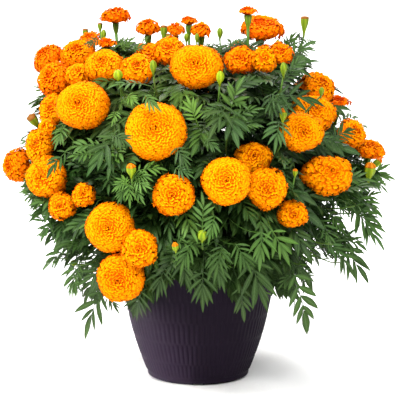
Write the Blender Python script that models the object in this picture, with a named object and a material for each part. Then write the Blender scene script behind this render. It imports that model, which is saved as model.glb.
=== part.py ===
"""Potted African marigold: a thin plastic bowl pot with a foot ring, potting soil,
twelve leafy stems that rise from the soil, and the open flower heads that sit on
the stems' cups. Metres, +Z up; the origin is the middle of the pot's foot."""

import math
import random

import bmesh
import bpy
import numpy as np
from mathutils import Vector
from mathutils.bvhtree import BVHTree

# --------------------------------------------------------------------------
# Driving dimensions, in metres
# --------------------------------------------------------------------------
POT_HEIGHT = 0.190          # floor to rim
POT_RIM_RADIUS = 0.1295     # outside, under the rolled lip
POT_WALL = 0.0028
POT_LIP = 0.0022            # how far the lip stands out
FOOT_RADIUS = 0.0735        # outside of the foot ring
FOOT_HEIGHT = 0.0035
FOOT_NOTCHES = 5
NOTCH_WIDTH = 0.015
SOIL_TOP = 0.172
GAP = 0.0003                # clearance between touching pieces
DRAIN_RADIUS = 0.005        # drain holes in the floor, between the notches
DRAIN_CIRCLE = 0.052

# outside of the pot wall: (height, radius)
POT_OUTSIDE = (
    (0.0085, 0.0818), (0.018, 0.0860), (0.0364, 0.0929), (0.0540, 0.0990),
    (0.0709, 0.1044), (0.0980, 0.1112), (0.125, 0.1168), (0.158, 0.1232),
    (0.1845, 0.1288),
)

# outline of the whole bush: (height, radius)
CANOPY = (
    (0.075, 0.172), (0.120, 0.200), (0.155, 0.234), (0.200, 0.260),
    (0.250, 0.276), (0.300, 0.288), (0.340, 0.298), (0.380, 0.290),
    (0.410, 0.276), (0.445, 0.260), (0.485, 0.247), (0.524, 0.222),
    (0.565, 0.170), (0.590, 0.120), (0.604, 0.050),
)

# The front elevation is laid out as it is seen from a point two metres away,
# on a sheet 400 units square at 1250 units from the eye. Across and down are
# counted from the sheet's top left corner, and the pot's axis is at 198.
EYE_X = 0.003
EYE_DISTANCE = 2.0
EYE_HEIGHT = 0.4802
EYE_TILT = 0.0974
SHEET_FOCUS = 1250.0
SHEET_MIDDLE = 200.0

# Open flower heads seen from the front: name, across, down, width, height (all
# in sheet units), depth (1 on the front of the bush, 0 level with the pot's
# axis, below 0 behind it), yaw and rise of the face in degrees, and tone (0 a
# golden orange, 1 a deep orange).
FRONT_HEADS = (
    ("flower_head_01", 155.5, 131.0, 62.5, 58.0, 0.97, -5, 12, 0.00),
    ("flower_head_02", 196.5, 66.5, 53.0, 43.0, 0.84, -3, 14, 0.18),
    ("flower_head_03", 83.0, 105.5, 56.0, 46.0, 0.84, -14, 14, 0.16),
    ("flower_head_04", 226.5, 181.0, 50.0, 48.0, 0.97, 4, 10, 0.05),
    ("flower_head_05", 253.0, 158.5, 37.0, 31.0, 0.74, 8, 20, 0.25),
    ("flower_head_06", 267.0, 188.0, 41.0, 41.0, 0.88, 10, 4, 0.20),
    ("flower_head_07", 173.5, 195.0, 42.0, 41.0, 0.96, 0, 2, 0.30),
    ("flower_head_08", 110.5, 227.5, 51.0, 50.0, 0.94, -10, 2, 0.12),
    ("flower_head_09", 139.5, 248.5, 36.0, 38.0, 1.02, 4, 0, 0.18),
    ("flower_head_10", 120.5, 278.0, 49.0, 48.0, 1.02, -8, -8, 0.15),
    ("flower_head_11", 327.5, 175.0, 53.0, 36.0, 0.62, 16, 22, 0.10),
    ("flower_head_12", 301.5, 132.0, 45.0, 38.0, 0.80, 10, 6, 0.08),
    ("flower_head_13", 312.5, 114.0, 48.0, 36.0, 0.42, 18, 30, 0.14),
    ("flower_head_14", 318.0, 88.0, 35.0, 27.0, 0.05, 38, 42, 0.28),
    ("flower_head_15", 351.0, 134.0, 29.0, 25.0, 0.12, 35, 30, 0.26),
    ("flower_head_16", 370.0, 150.5, 29.0, 20.0, 0.00, 20, 66, 0.45),
    ("flower_head_17", 292.5, 214.0, 30.0, 25.0, 0.86, 10, 0, 0.26),
    ("flower_head_18", 40.0, 145.5, 33.0, 35.0, 0.36, -34, 14, 0.30),
    ("flower_head_19", 18.5, 165.5, 33.0, 33.0, -0.10, -58, 6, 0.60),
    ("flower_head_20", 46.5, 177.0, 45.0, 38.0, 0.60, -24, 6, 0.30),
    ("flower_head_21", 62.0, 206.0, 29.0, 25.0, 0.74, -20, 4, 0.50),
    ("flower_head_22", 55.5, 80.0, 36.0, 32.0, 0.20, -36, 22, 0.75),
    ("flower_head_23", 49.0, 59.5, 32.0, 26.0, -0.60, -60, 46, 0.85),
    ("flower_head_24", 78.5, 56.0, 35.0, 29.0, -0.02, -14, 48, 0.55),
    ("flower_head_25", 80.0, 75.0, 30.0, 21.0, 0.34, -12, 42, 0.45),
    ("flower_head_26", 104.5, 66.0, 40.0, 31.0, 0.50, -8, 36, 0.35),
    ("flower_head_27", 137.5, 69.0, 33.0, 29.0, 0.66, -2, 36, 0.40),
    ("flower_head_28", 149.5, 56.0, 27.0, 25.0, 0.30, 0, 40, 0.50),
    ("flower_head_29", 169.5, 51.0, 31.0, 27.0, 0.55, 2, 40, 0.45),
    ("flower_head_30", 241.0, 60.5, 32.0, 27.0, 0.52, -4, 34, 0.60),
    ("flower_head_31", 264.5, 59.5, 24.0, 33.0, 0.66, 12, 16, 0.30),
    ("flower_head_32", 262.0, 29.0, 42.0, 24.0, -0.10, 6, 64, 0.80),
    ("flower_head_33", 115.5, 17.0, 27.0, 17.5, 0.10, -6, 80, 0.95),
)

# Open flower heads on the sides and the back: name, azimuth from the front
# towards +X in degrees, height, diameter in metres, rise, tone.
BACK_HEADS = (
    ("flower_head_34", 182, 0.425, 0.088, 20, 0.10),
    ("flower_head_35", 148, 0.350, 0.092, 10, 0.15),
    ("flower_head_36", 217, 0.345, 0.082, 10, 0.20),
    ("flower_head_37", 176, 0.292, 0.084, 4, 0.12),
    ("flower_head_38", 131, 0.450, 0.064, 34, 0.45),
    ("flower_head_39", 236, 0.450, 0.068, 34, 0.45),
    ("flower_head_40", 139, 0.270, 0.074, 4, 0.30),
    ("flower_head_41", 222, 0.245, 0.084, 0, 0.20),
    ("flower_head_42", 160, 0.520, 0.056, 52, 0.65),
    ("flower_head_43", 206, 0.515, 0.062, 50, 0.60),
    ("flower_head_44", 151, 0.212, 0.066, -6, 0.30),
    ("flower_head_45", 204, 0.205, 0.076, -6, 0.20),
)

# Flowers that are only part open, and stay in one piece with their stems:
# name, across, down, width, height, depth, yaw, rise, tone, openness.
YOUNG_FLOWERS = (
    ("young_flower_01", 148.0, 29.0, 23.0, 19.0, 0.10, 0, 74, 0.90, 0.90),
    ("young_flower_02", 175.5, 31.0, 18.0, 15.0, 0.00, 4, 70, 0.90, 0.85),
    ("young_flower_03", 201.0, 31.5, 18.5, 17.5, 0.35, 0, 62, 0.80, 0.80),
    ("young_flower_04", 189.0, 22.0, 16.0, 10.5, -0.30, 0, 84, 1.00, 0.45),
    ("young_flower_05", 248.0, 12.0, 18.0, 10.5, 0.60, -4, 84, 1.00, 0.40),
    ("young_flower_06", 338.0, 102.0, 23.0, 11.0, -0.05, 24, 76, 1.00, 0.60),
    ("young_flower_07", 106.0, 44.0, 20.0, 11.0, 0.30, 4, 80, 1.00, 0.45),
    ("young_flower_08", 281.0, 53.5, 23.0, 21.0, 0.30, 14, 40, 0.55, 0.90),
    ("young_flower_09", 53.0, 109.5, 30.0, 28.0, 0.41, -30, 20, 0.30, 0.98),
    ("young_flower_10", 47.5, 127.0, 17.0, 16.0, 0.62, -38, 10, 0.60, 0.90),
    ("young_flower_11", 91.0, 40.0, 21.0, 15.0, -0.35, -10, 60, 0.90, 0.90),
    ("young_flower_12", 84.0, 195.0, 24.0, 22.0, 0.80, -14, 10, 0.50, 0.90),
)

# Buds: across, down (of the middle), width, height, depth, yaw, rise, kind.
# Kinds: 0 green, 1 green with an orange tip, 2 a tall cone with a brown top,
# 3 a round yellow-green one.
BUDS = (
    (85.3, 33.5, 5.5, 9.5, -0.80, -8, 80, 2),
    (100.0, 27.0, 5.0, 8.0, 0.05, -4, 84, 2),
    (103.5, 34.5, 5.5, 10.0, 0.20, 4, 84, 0),
    (163.5, 32.5, 6.5, 14.0, 0.20, 2, 86, 2),
    (186.5, 37.5, 5.5, 8.0, 0.35, 6, 80, 0),
    (219.8, 33.0, 6.0, 10.5, 0.10, 0, 86, 0),
    (196.8, 38.0, 4.5, 9.5, 0.46, 2, 84, 0),
    (220.0, 77.0, 8.0, 12.0, 0.98, 6, 78, 3),
    (153.0, 66.5, 7.0, 13.0, 0.95, -4, 74, 0),
    (304.3, 24.0, 8.0, 15.0, 0.00, 10, 82, 2),
    (283.5, 69.0, 7.0, 13.0, 0.85, -6, 78, 0),
    (321.4, 91.5, 5.0, 9.0, 0.60, 10, 76, 0),
    (34.5, 121.5, 9.5, 16.0, 0.42, -38, 44, 2),
    (118.0, 75.0, 9.5, 11.0, 0.95, -6, 60, 3),
    (131.0, 169.5, 9.5, 12.5, 1.07, -4, 72, 1),
    (369.6, 170.5, 11.5, 16.5, 0.30, 20, 78, 1),
    (175.3, 247.0, 6.5, 11.0, 1.05, -10, 60, 1),
    (74.0, 263.0, 6.0, 9.0, 0.45, -40, 24, 0),
    (202.5, 235.5, 10.0, 12.0, 1.06, 4, 54, 3),
    (295.0, 172.5, 5.0, 8.0, 0.84, 6, 80, 1),
    (283.0, 114.5, 7.5, 13.0, 0.95, 8, 80, 1),
)
# The same on the sides and the back: azimuth, height, width, length, rise, kind.
BACK_BUDS = (
    (118, 0.43, 0.011, 0.022, 60, 2),
    (140, 0.535, 0.010, 0.021, 78, 0),
    (195, 0.545, 0.011, 0.023, 80, 2),
    (165, 0.40, 0.012, 0.021, 40, 1),
    (225, 0.41, 0.011, 0.020, 44, 0),
    (100, 0.34, 0.012, 0.022, 40, 1),
    (238, 0.33, 0.012, 0.021, 40, 3),
    (236, 0.27, 0.011, 0.020, 20, 1),
    (190, 0.35, 0.010, 0.018, 30, 0),
)

# Leaves seen one by one from the front: across and down of the first leaflets,
# across and down of the tip, depth, tone (0 an old blue-green, 1 a young
# yellow-green), and a last 1 where the leaflets are few and far apart.
MARKED_LEAVES = (
    (112, 138, 88, 178, 1.02, 0.25), (114, 140, 104, 180, 0.98, 0.15),
    (118, 142, 136, 150, 0.98, 0.2), (150, 100, 168, 112, 1.34, 0.7),
    (128, 96, 140, 106, 1.22, 0.8), (116, 112, 112, 128, 1.02, 0.6),
    (129, 180, 130, 208, 1.04, 0.6), (136, 176, 156, 178, 1.03, 0.5),
    (127, 180, 112, 190, 1.02, 0.5), (128, 184, 119, 207, 1.0, 0.45),
    (133, 185, 143, 208, 1.02, 0.5), (136, 181, 155, 193, 1.04, 0.55),
    (224, 106, 216, 144, 1.03, 0.2), (228, 108, 242, 142, 1.04, 0.25),
    (221, 107, 200, 121, 1.02, 0.5), (270, 94, 272, 126, 0.98, 0.2),
    (272, 94, 290, 106, 1.0, 0.3), (279, 97, 320, 100, 1.10, 0.1, 1), (274, 100, 298, 112, 1.06, 0.1, 1),
    (335, 137, 353, 128, 0.60, 0.15), (368, 175, 395, 178, 0.1, 0.3), (371, 177, 387, 161, 0.12, 0.25), (279, 122, 272, 156, 1.04, 0.15),
    (366, 177, 388, 191, 0.15, 0.25), (352, 196, 381, 214, 0.3, 0.35),
    (350, 202, 379, 226, 0.35, 0.25), (352, 205, 372, 240, 0.4, 0.3),
    (354, 208, 381, 252, 0.25, 0.2), (338, 238, 364, 246, 0.5, 0.25),
    (336, 240, 365, 280, 0.45, 0.2), (332, 242, 350, 276, 0.55, 0.25),
    (334, 198, 348, 218, 0.45, 0.2), (330, 212, 344, 236, 0.5, 0.3), (322, 220, 332, 250, 0.55, 0.25),
    (290, 276, 276, 289, 0.92, 0.2), (294, 274, 306, 327, 0.97, 0.25, 1),
    (299, 268, 312, 280, 0.9, 0.25), (262, 232, 258, 268, 1.1, 0.35),
    (272, 230, 288, 262, 1.08, 0.5), (104, 292, 89, 332, 0.92, 0.14, 1),
    (107, 297, 122, 311, 0.98, 0.25), (242, 118, 228, 146, 0.62, 0.1),
    (68, 248, 46, 267, 0.5, 0.25, 1), (62, 232, 30, 208, 0.2, 0.25),
    (58, 226, 38, 236, 0.35, 0.25), (78, 262, 72, 292, 0.7, 0.3),
    (162, 268, 158, 298, 1.0, 0.1), (198, 262, 196, 304, 1.0, 0.1),
    (184, 262, 182, 292, 0.98, 0.1), (240, 272, 243, 316, 1.02, 0.15),
    (262, 268, 268, 300, 1.0, 0.15), (141, 292, 136, 314, 1.02, 0.15),
    (215, 216, 206, 244, 1.08, 0.35), (222, 246, 214, 280, 1.06, 0.2),
    (236, 244, 252, 272, 1.06, 0.25), (192, 244, 176, 272, 1.04, 0.3),
    (288, 60, 316, 42, 0.1, 0.45), (286, 66, 315, 61, 0.2, 0.4),
    (288, 52, 299, 32, 0.0, 0.5), (292, 66, 312, 78, 0.3, 0.3),
    (230, 46, 243, 40, 0.2, 0.7), (128, 50, 118, 42, 0.2, 0.7),
    (46, 92, 33, 86, 0.1, 0.4), (30, 142, 20, 143, 0.3, 0.4),
    (36, 190, 20, 192, 0.3, 0.4), (310, 152, 332, 148, 0.9, 0.4),
    (176, 148, 192, 172, 1.05, 0.25), (196, 120, 186, 96, 1.0, 0.8),
    (205, 140, 226, 154, 1.02, 0.3), (176, 168, 196, 178, 1.03, 0.3),
    (122, 48, 138, 38, 0.25, 0.3), (134, 50, 148, 44, 0.35, 0.35), (142, 42, 150, 35, 0.15, 0.6),
    (98, 41, 84, 46, 0.5, 0.1), (286, 48, 296, 30, 0.0, 0.5), (296, 52, 317, 54, 0.15, 0.4),
    (232, 44, 226, 38, 0.2, 0.6), (240, 46, 250, 38, 0.25, 0.5), (176, 46, 186, 40, 0.4, 0.5),
    (206, 48, 212, 42, 0.3, 0.5),
)

# Outline of the leaves on the front elevation, round it clockwise. The notches
# at the right and the points along the bottom are gaps between hanging leaves.
OUTLINE = (
    (14, 150), (22, 128), (30, 86), (40, 62), (56, 48), (92, 44), (112, 40), (122, 35),
    (136, 37), (144, 46), (205, 46), (221, 44), (227, 36), (241, 38), (284, 27), (293, 32),
    (305, 36), (316, 42), (318, 60), (311, 76), (330, 84), (350, 98), (364, 122), (380, 140),
    (388, 160), (396, 176), (385, 192), (374, 197), (382, 210), (383, 236), (381, 254), (374, 238),
    (364, 226), (354, 224), (346, 212), (338, 216), (346, 236), (364, 240), (364, 256), (368, 282),
    (352, 270), (338, 262), (318, 270), (310, 292), (305, 328), (298, 326), (288, 304), (276, 298),
    (268, 292), (262, 306), (256, 297), (250, 308), (240, 318), (230, 314), (220, 288), (214, 292),
    (206, 308), (192, 303), (184, 287), (172, 288), (160, 300), (148, 314), (136, 320), (124, 308),
    (110, 312), (98, 326), (84, 333), (74, 312), (66, 284), (50, 268), (38, 240), (30, 226),
    (25, 208), (16, 194), (10, 178),
)

# Main stems: (azimuth, angle from upright) of the part of the bush each feeds.
STEM_AIMS = tuple((i * 90.0, 26.0) for i in range(4)) + tuple(
    (22.5 + i * 45.0, 74.0) for i in range(8)
)
SHOOTS = 44                 # leafy side shoots with no flower
HEART = Vector((0.0, 0.0, 0.26))


def curve_value(table, x):
    """Smooth (Catmull-Rom) reading of a table of (x, value)."""
    last = len(table) - 1
    if x <= table[0][0]:
        return table[0][1]
    if x >= table[last][0]:
        return table[last][1]
    i = max(j for j in range(last) if table[j][0] <= x)
    x0, y0 = table[i]
    x1, y1 = table[i + 1]
    t = (x - x0) / (x1 - x0)
    a = table[max(i - 1, 0)]
    b = table[min(i + 2, last)]
    m0 = (y1 - a[1]) / (x1 - a[0]) * (x1 - x0)
    m1 = (b[1] - y0) / (b[0] - x0) * (x1 - x0)
    return (
        (2 * t**3 - 3 * t**2 + 1) * y0 + (t**3 - 2 * t**2 + t) * m0
        + (3 * t**2 - 2 * t**3) * y1 + (t**3 - t**2) * m1
    )


def canopy_radius(z):
    return curve_value(CANOPY, z)


def sheet_point(across, down, y):
    """The point at depth y that shows at (across, down) on the front elevation."""
    dx = (across - SHEET_MIDDLE) / SHEET_FOCUS
    dz = (SHEET_MIDDLE - down) / SHEET_FOCUS
    c, s = math.cos(EYE_TILT), math.sin(EYE_TILT)
    ray = Vector((dx, c + dz * s, -s + dz * c))
    t = (y + EYE_DISTANCE) / ray.y
    return Vector((EYE_X, -EYE_DISTANCE, EYE_HEIGHT)) + ray * t


def sheet_place(p):
    """Where a point shows on the front elevation: across, down, and its distance."""
    c, s = math.cos(EYE_TILT), math.sin(EYE_TILT)
    dx, dy, dz = p.x - EYE_X, p.y + EYE_DISTANCE, p.z - EYE_HEIGHT
    depth = dy * c - dz * s
    return SHEET_MIDDLE + SHEET_FOCUS * dx / depth, SHEET_MIDDLE - SHEET_FOCUS * (dy * s + dz * c) / depth, depth


def in_outline(across, down):
    """Is a place on the front elevation within the outline of the leaves?"""
    inside = False
    for (x0, y0), (x1, y1) in zip(OUTLINE, OUTLINE[1:] + OUTLINE[:1]):
        if (y0 > down) != (y1 > down) and across < x0 + (down - y0) / (y1 - y0) * (x1 - x0):
            inside = not inside
    return inside


def bush_front(across, down):
    """Depth y at which a sight line meets the front of the bush."""
    y = -0.2
    for _ in range(6):
        p = sheet_point(across, down, y)
        r = canopy_radius(p.z)
        y = -math.sqrt(max(r * r - p.x * p.x, 0.0036))
    return y


def sheet_scale(y):
    return (y + EYE_DISTANCE) / SHEET_FOCUS


def facing(yaw, rise):
    a, e = math.radians(yaw), math.radians(rise)
    return Vector((math.sin(a) * math.cos(e), -math.cos(a) * math.cos(e), math.sin(e)))


def frame_about(n):
    """Right and up vectors across a direction n."""
    up = Vector((0.0, 0.0, 1.0)) if abs(n.z) < 0.97 else Vector((0.0, 1.0, 0.0))
    right = up.cross(n).normalized()
    return right, n.cross(right).normalized()


def make_flower(name, centre, radius, ratio, yaw, rise, tone, openness):
    """ratio is the drawn height over the drawn width."""
    n = facing(yaw, rise)
    view = (Vector((EYE_X, -EYE_DISTANCE, EYE_HEIGHT)) - centre).normalized()
    cosine = max(-1.0, min(1.0, n.dot(view)))
    sine = math.sqrt(1.0 - cosine * cosine)
    if ratio is None:
        thick, tall = 0.68, 0.97
    elif cosine > 0.707:
        thick = 0.68
        tall = math.sqrt(max(ratio**2 - (0.875 * thick * sine) ** 2, 0.25)) / cosine
        tall = max(0.74, min(1.1, tall))
    else:
        thick = max(0.56, min(0.95, (ratio - 0.35 * cosine) / 0.875 / sine))
        tall = 1.0
    right, up = frame_about(n)
    return {
        "name": name, "centre": centre, "n": n, "right": right, "up": up,
        "radius": radius, "tall": radius * tall, "thick": radius * thick,
        "tone": tone, "open": openness,
    }


def all_flowers():
    flowers = []
    for name, u, v, w, h, depth, yaw, rise, tone in FRONT_HEADS:
        y = depth * bush_front(u, v)
        flowers.append(make_flower(
            name, sheet_point(u, v, y), w / 2 * sheet_scale(y), h / w, yaw, rise, tone, 1.0
        ))
    for name, azimuth, z, diameter, rise, tone in BACK_HEADS:
        r = canopy_radius(z) * 0.99 - 0.003
        a = math.radians(azimuth)
        centre = Vector((math.sin(a) * r, -math.cos(a) * r, z))
        flowers.append(make_flower(name, centre, diameter / 2, None, azimuth, rise, tone, 1.0))
    for name, u, v, w, h, depth, yaw, rise, tone, openness in YOUNG_FLOWERS:
        y = depth * bush_front(u, v)
        flowers.append(make_flower(
            name, sheet_point(u, v, y), w / 2 * sheet_scale(y), h / w, yaw, rise, tone, openness
        ))
    for f in flowers:
        r = f["radius"]
        shut = 1.0 - f["open"]
        f["cup_length"] = (0.010 + 0.24 * r) * (1.0 + 0.7 * shut)
        f["cup_radius"] = (0.0022 + 0.10 * r) * (1.0 + 1.7 * shut)
        f["seat"] = f["centre"] - f["n"] * (0.75 * f["thick"])
        f["stalk_end"] = f["seat"] - f["n"] * f["cup_length"]
        f["sheet"] = sheet_place(f["centre"])
        f["back"] = f["centre"].y > 0.09
        view = (Vector((EYE_X, -EYE_DISTANCE, EYE_HEIGHT)) - f["centre"]).normalized()
        f["shown"] = math.hypot(f["tall"] * f["up"].cross(view).length, f["thick"] * f["n"].cross(view).length)
    return flowers


def all_buds():
    buds = []
    for u, v, w, h, depth, yaw, rise, kind in BUDS:
        y = depth * bush_front(u, v)
        s = sheet_scale(y)
        buds.append((sheet_point(u, v, y), w * s, h * s, facing(yaw, rise), kind))
    for azimuth, z, w, h, rise, kind in BACK_BUDS:
        a = math.radians(azimuth)
        r = canopy_radius(z) * 1.0
        buds.append((Vector((math.sin(a) * r, -math.cos(a) * r, z)), w, h, facing(azimuth, rise), kind))
    return [
        {"centre": c, "width": w, "length": h, "n": n, "kind": k, "stalk_end": c - n * (h / 2), "sheet": sheet_place(c)}
        for c, w, h, n, k in buds
    ]


def inside_flower(p, flower, margin):
    d = p - flower["centre"]
    a = d.dot(flower["right"]) / (flower["radius"] + margin)
    b = d.dot(flower["up"]) / (flower["tall"] + margin)
    along = d.dot(flower["n"])
    c = along / ((flower["thick"] if along > 0 else 0.8 * flower["thick"]) + margin)
    return a * a + b * b + c * c < 1.0


def inside_pot(p, margin):
    """Is the point in the pot's wall or soil, or closer to them than margin?"""
    if p.z > POT_HEIGHT + margin:
        return False
    r = math.hypot(p.x, p.y)
    outside = curve_value(POT_OUTSIDE, p.z) + POT_LIP
    if r > outside + margin:
        return False
    return p.z < SOIL_TOP + margin or r > outside - POT_WALL - POT_LIP - margin


def bezier(p0, p1, p2, p3, t):
    s = 1.0 - t
    return p0 * s**3 + p1 * (3 * s * s * t) + p2 * (3 * s * t * t) + p3 * t**3


def main_stems():
    stems = []
    for i, (azimuth, lean) in enumerate(STEM_AIMS):
        a, e = math.radians(azimuth), math.radians(lean)
        aim = Vector((math.sin(a) * math.sin(e), -math.cos(a) * math.sin(e), math.cos(e)))
        inner = lean < 45.0
        foot_angle = a + (math.radians(45.0) if inner else 0.0)
        foot = 0.020 if inner else 0.060
        base = Vector((math.sin(foot_angle) * foot, -math.cos(foot_angle) * foot, SOIL_TOP + GAP))
        fork = HEART + aim * (0.150 if inner else 0.142)
        reach = (fork - base).length
        stems.append({
            "name": "leafy_stem_%02d" % (i + 1), "aim": aim, "inner": inner,
            "points": (base, base + Vector((0, 0, reach * 0.45)), fork - aim * reach * 0.3, fork),
            "azimuth": a,
        })
    return stems


def axis_samples(points, count=26):
    return np.array([tuple(bezier(*points, i / (count - 1))) for i in range(count)])


def axis_is_clear(points, own_stem, flowers, own_flower, placed):
    samples = axis_samples(points)
    for i, q in enumerate(samples):
        p = Vector(q)
        if i > 2 and inside_pot(p, 0.006):
            return False
        for f in flowers:
            if f is own_flower and i > 22:
                continue
            if (p - f["centre"]).length < f["radius"] + 0.02 and inside_flower(p, f, 0.0045):
                return False
    for stem, other in placed:
        if stem == own_stem:
            continue
        gaps = np.linalg.norm(samples[:, None, :] - other[None, :, :], axis=2)
        if gaps.min() < 0.0085:
            return False
    return True


def all_axes(flowers, buds):
    """Every flower stalk, bud stalk and leafy shoot, each springing from a main stem."""
    stems = main_stems()
    placed = [(i, axis_samples(s["points"], 40)) for i, s in enumerate(stems)]
    axes = []

    def stem_for(p):
        d = (p - HEART).normalized()
        return max(range(len(stems)), key=lambda i: d.dot(stems[i]["aim"]))

    def spring(kind, end, n, own_flower, own_bud, thickness):
        order = sorted(range(len(stems)), key=lambda i: -(end - HEART).normalized().dot(stems[i]["aim"]))
        for i in order[:2]:
            trunk = stems[i]["points"]
            low, high = (0.60, 1.0) if stems[i]["inner"] else (0.52, 1.0)
            rise = (end.z - 0.16) / 0.40
            for step in range(36):
                s = max(low, min(high, low + (high - low) * rise + 0.06 * ((step % 3) - 1)))
                start = bezier(*trunk, s)
                along = (bezier(*trunk, min(s + 0.02, 1.0)) - bezier(*trunk, s - 0.02)).normalized()
                reach = (end - start).length
                ahead = (end - start).normalized()
                side = ahead.cross(Vector((0, 0, 1)))
                side = side.normalized() if side.length > 0.1 else Vector((1, 0, 0))
                push = 0.012 * (step // 3)
                swing = side * push * (1 if step % 2 else -1) + Vector((0, 0, push * 0.5))
                p1 = start + (along * 0.55 + ahead * 0.45).normalized() * reach * 0.36 + swing
                p2 = end - n * reach * 0.36 + swing
                points = (start, p1, p2, end)
                if axis_is_clear(points, i, flowers, own_flower, placed):
                    placed.append((i, axis_samples(points)))
                    axes.append({
                        "stem": i, "kind": kind, "points": points, "flower": own_flower,
                        "bud": own_bud, "radius": thickness, "n": n,
                    })
                    return True
        return False

    missed = []
    for f in sorted(flowers, key=lambda f: -f["radius"]):
        if not spring("flower", f["stalk_end"], f["n"], f, None, 0.0014 + 0.016 * f["radius"]):
            missed.append(f["name"])
    for j, b in enumerate(buds):
        if not spring("bud", b["stalk_end"], b["n"], None, b, 0.0014):
            missed.append("bud %d" % j)

    # leafy shoots fill the gaps between the flowers, each as far as it can be from the rest
    rng = random.Random(20)
    tips = [f["centre"] for f in flowers] + [b["centre"] for b in buds]
    for _ in range(SHOOTS):
        best, best_gap = None, -1.0
        for _ in range(60):
            z = 0.155 + 0.425 * rng.random() ** 0.85
            a = rng.uniform(-math.pi, math.pi)
            r = canopy_radius(z) * 0.93
            p = Vector((math.sin(a) * r, -math.cos(a) * r, z))
            gap = min((p - q).length for q in tips)
            if not in_outline(*sheet_place(p * 1.04)[:2]) or any(covers_flower(p, f) for f in flowers):
                continue
            if gap > best_gap and not any(inside_flower(p, f, 0.02) for f in flowers):
                best, best_gap, best_a = p, gap, a
        if best is None:
            continue
        tips.append(best)
        n = facing(math.degrees(best_a), 10 + 60 * max(0.0, (best.z - 0.25) / 0.33))
        spring("shoot", best, n, None, None, 0.0013)
    return stems, axes, missed


def marked_leaves(axes):
    """The leaves that are placed one by one, each on a stalk from the nearest stem."""
    samples = [(k, axis_samples(a["points"], 30)) for k, a in enumerate(axes)]
    leaves, used = [], []
    for u0, v0, u1, v1, depth, tone, *spaced in MARKED_LEAVES:
        y0 = max(depth * bush_front(u0, v0), -0.294)
        y1 = max(depth * bush_front(u1, v1), -0.300)
        if abs(y1 - y0) > 0.05:
            y1 = y0 + math.copysign(0.05, y1 - y0)
        base, tip = sheet_point(u0, v0, y0), sheet_point(u1, v1, y1)
        best = None
        for k, pts in samples:
            for j in range(6, 28):
                p = Vector(pts[j])
                d = (p - base).length + 0.6 * max(0.0, (p - tip).length - (base - tip).length - (p - base).length + 0.02)
                if (p - HEART).length > (base - HEART).length + 0.01:
                    d += 0.05
                d += sum(0.006 * (2 - abs(j - i)) for a, i in used if a == k and abs(j - i) < 2)
                if best is None or d < best[0]:
                    best = (d, k, j, p)
        _, k, j, root = best
        used.append((k, j))
        ahead = (tip - base).normalized()
        out = 0.6 * ((base + tip) / 2 - HEART).normalized() + Vector((0.0, -1.0, 0.15))
        out = (out - ahead * out.dot(ahead)).normalized()
        leaves.append({
            "axis": k, "at": j / 29.0, "root": root, "base": base, "tip": tip, "out": out,
            "tone": tone, "marked": True, "spaced": bool(spaced), "length": (tip - base).length,
        })
    return leaves


def covers_flower(p, flower):
    """Is the point in front of a flower's face, or between the flower and the eye?"""
    d = p - flower["centre"]
    along = d.dot(flower["n"])
    r = flower["radius"]
    if 0.0 < along < 1.8 * r + 0.02 and (d - flower["n"] * along).length < 0.85 * r:
        return True
    if flower["back"]:
        return False
    across, down, depth = flower["sheet"]
    u, v, near = sheet_place(p)
    if near > depth:
        return False
    size = SHEET_FOCUS / depth
    return math.hypot((u - across) / (0.90 * r * size), (v - down) / (0.90 * flower["shown"] * size)) < 1.0


def leaf_is_clear(points, flowers, margin):
    for p in points:
        if inside_pot(p, 0.004):
            return False
        for f in flowers:
            if (p - f["centre"]).length < f["radius"] + margin and inside_flower(p, f, margin):
                return False
    return True


def leaf_points(leaf):
    """Root on the stem, middle of the stalk, first leaflets, middle of the blade, tip."""
    root, base, tip, out = leaf["root"], leaf["base"], leaf["tip"], leaf["out"]
    ahead = (tip - base).normalized()
    stalk = (base - root)
    arch = 0.16 if stalk.length < 0.03 else -0.40 if stalk.length < 0.06 else -0.85
    bend = root + stalk * 0.5 + (out * arch - ahead * 0.10) * min(stalk.length, 0.07)
    middle = (base + tip) / 2 + out * 0.09 * (tip - base).length
    return root, bend, base, middle, tip


def covers_bud(p, bud):
    """Is the point between a bud and the eye?"""
    if bud["centre"].y > 0.09:
        return False
    across, down, depth = bud["sheet"]
    u, v, near = sheet_place(p)
    size = SHEET_FOCUS / depth
    return near < depth and abs(u - across) < 1.1 * bud["width"] * size and abs(v - down) < 0.62 * bud["length"] * size


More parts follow.
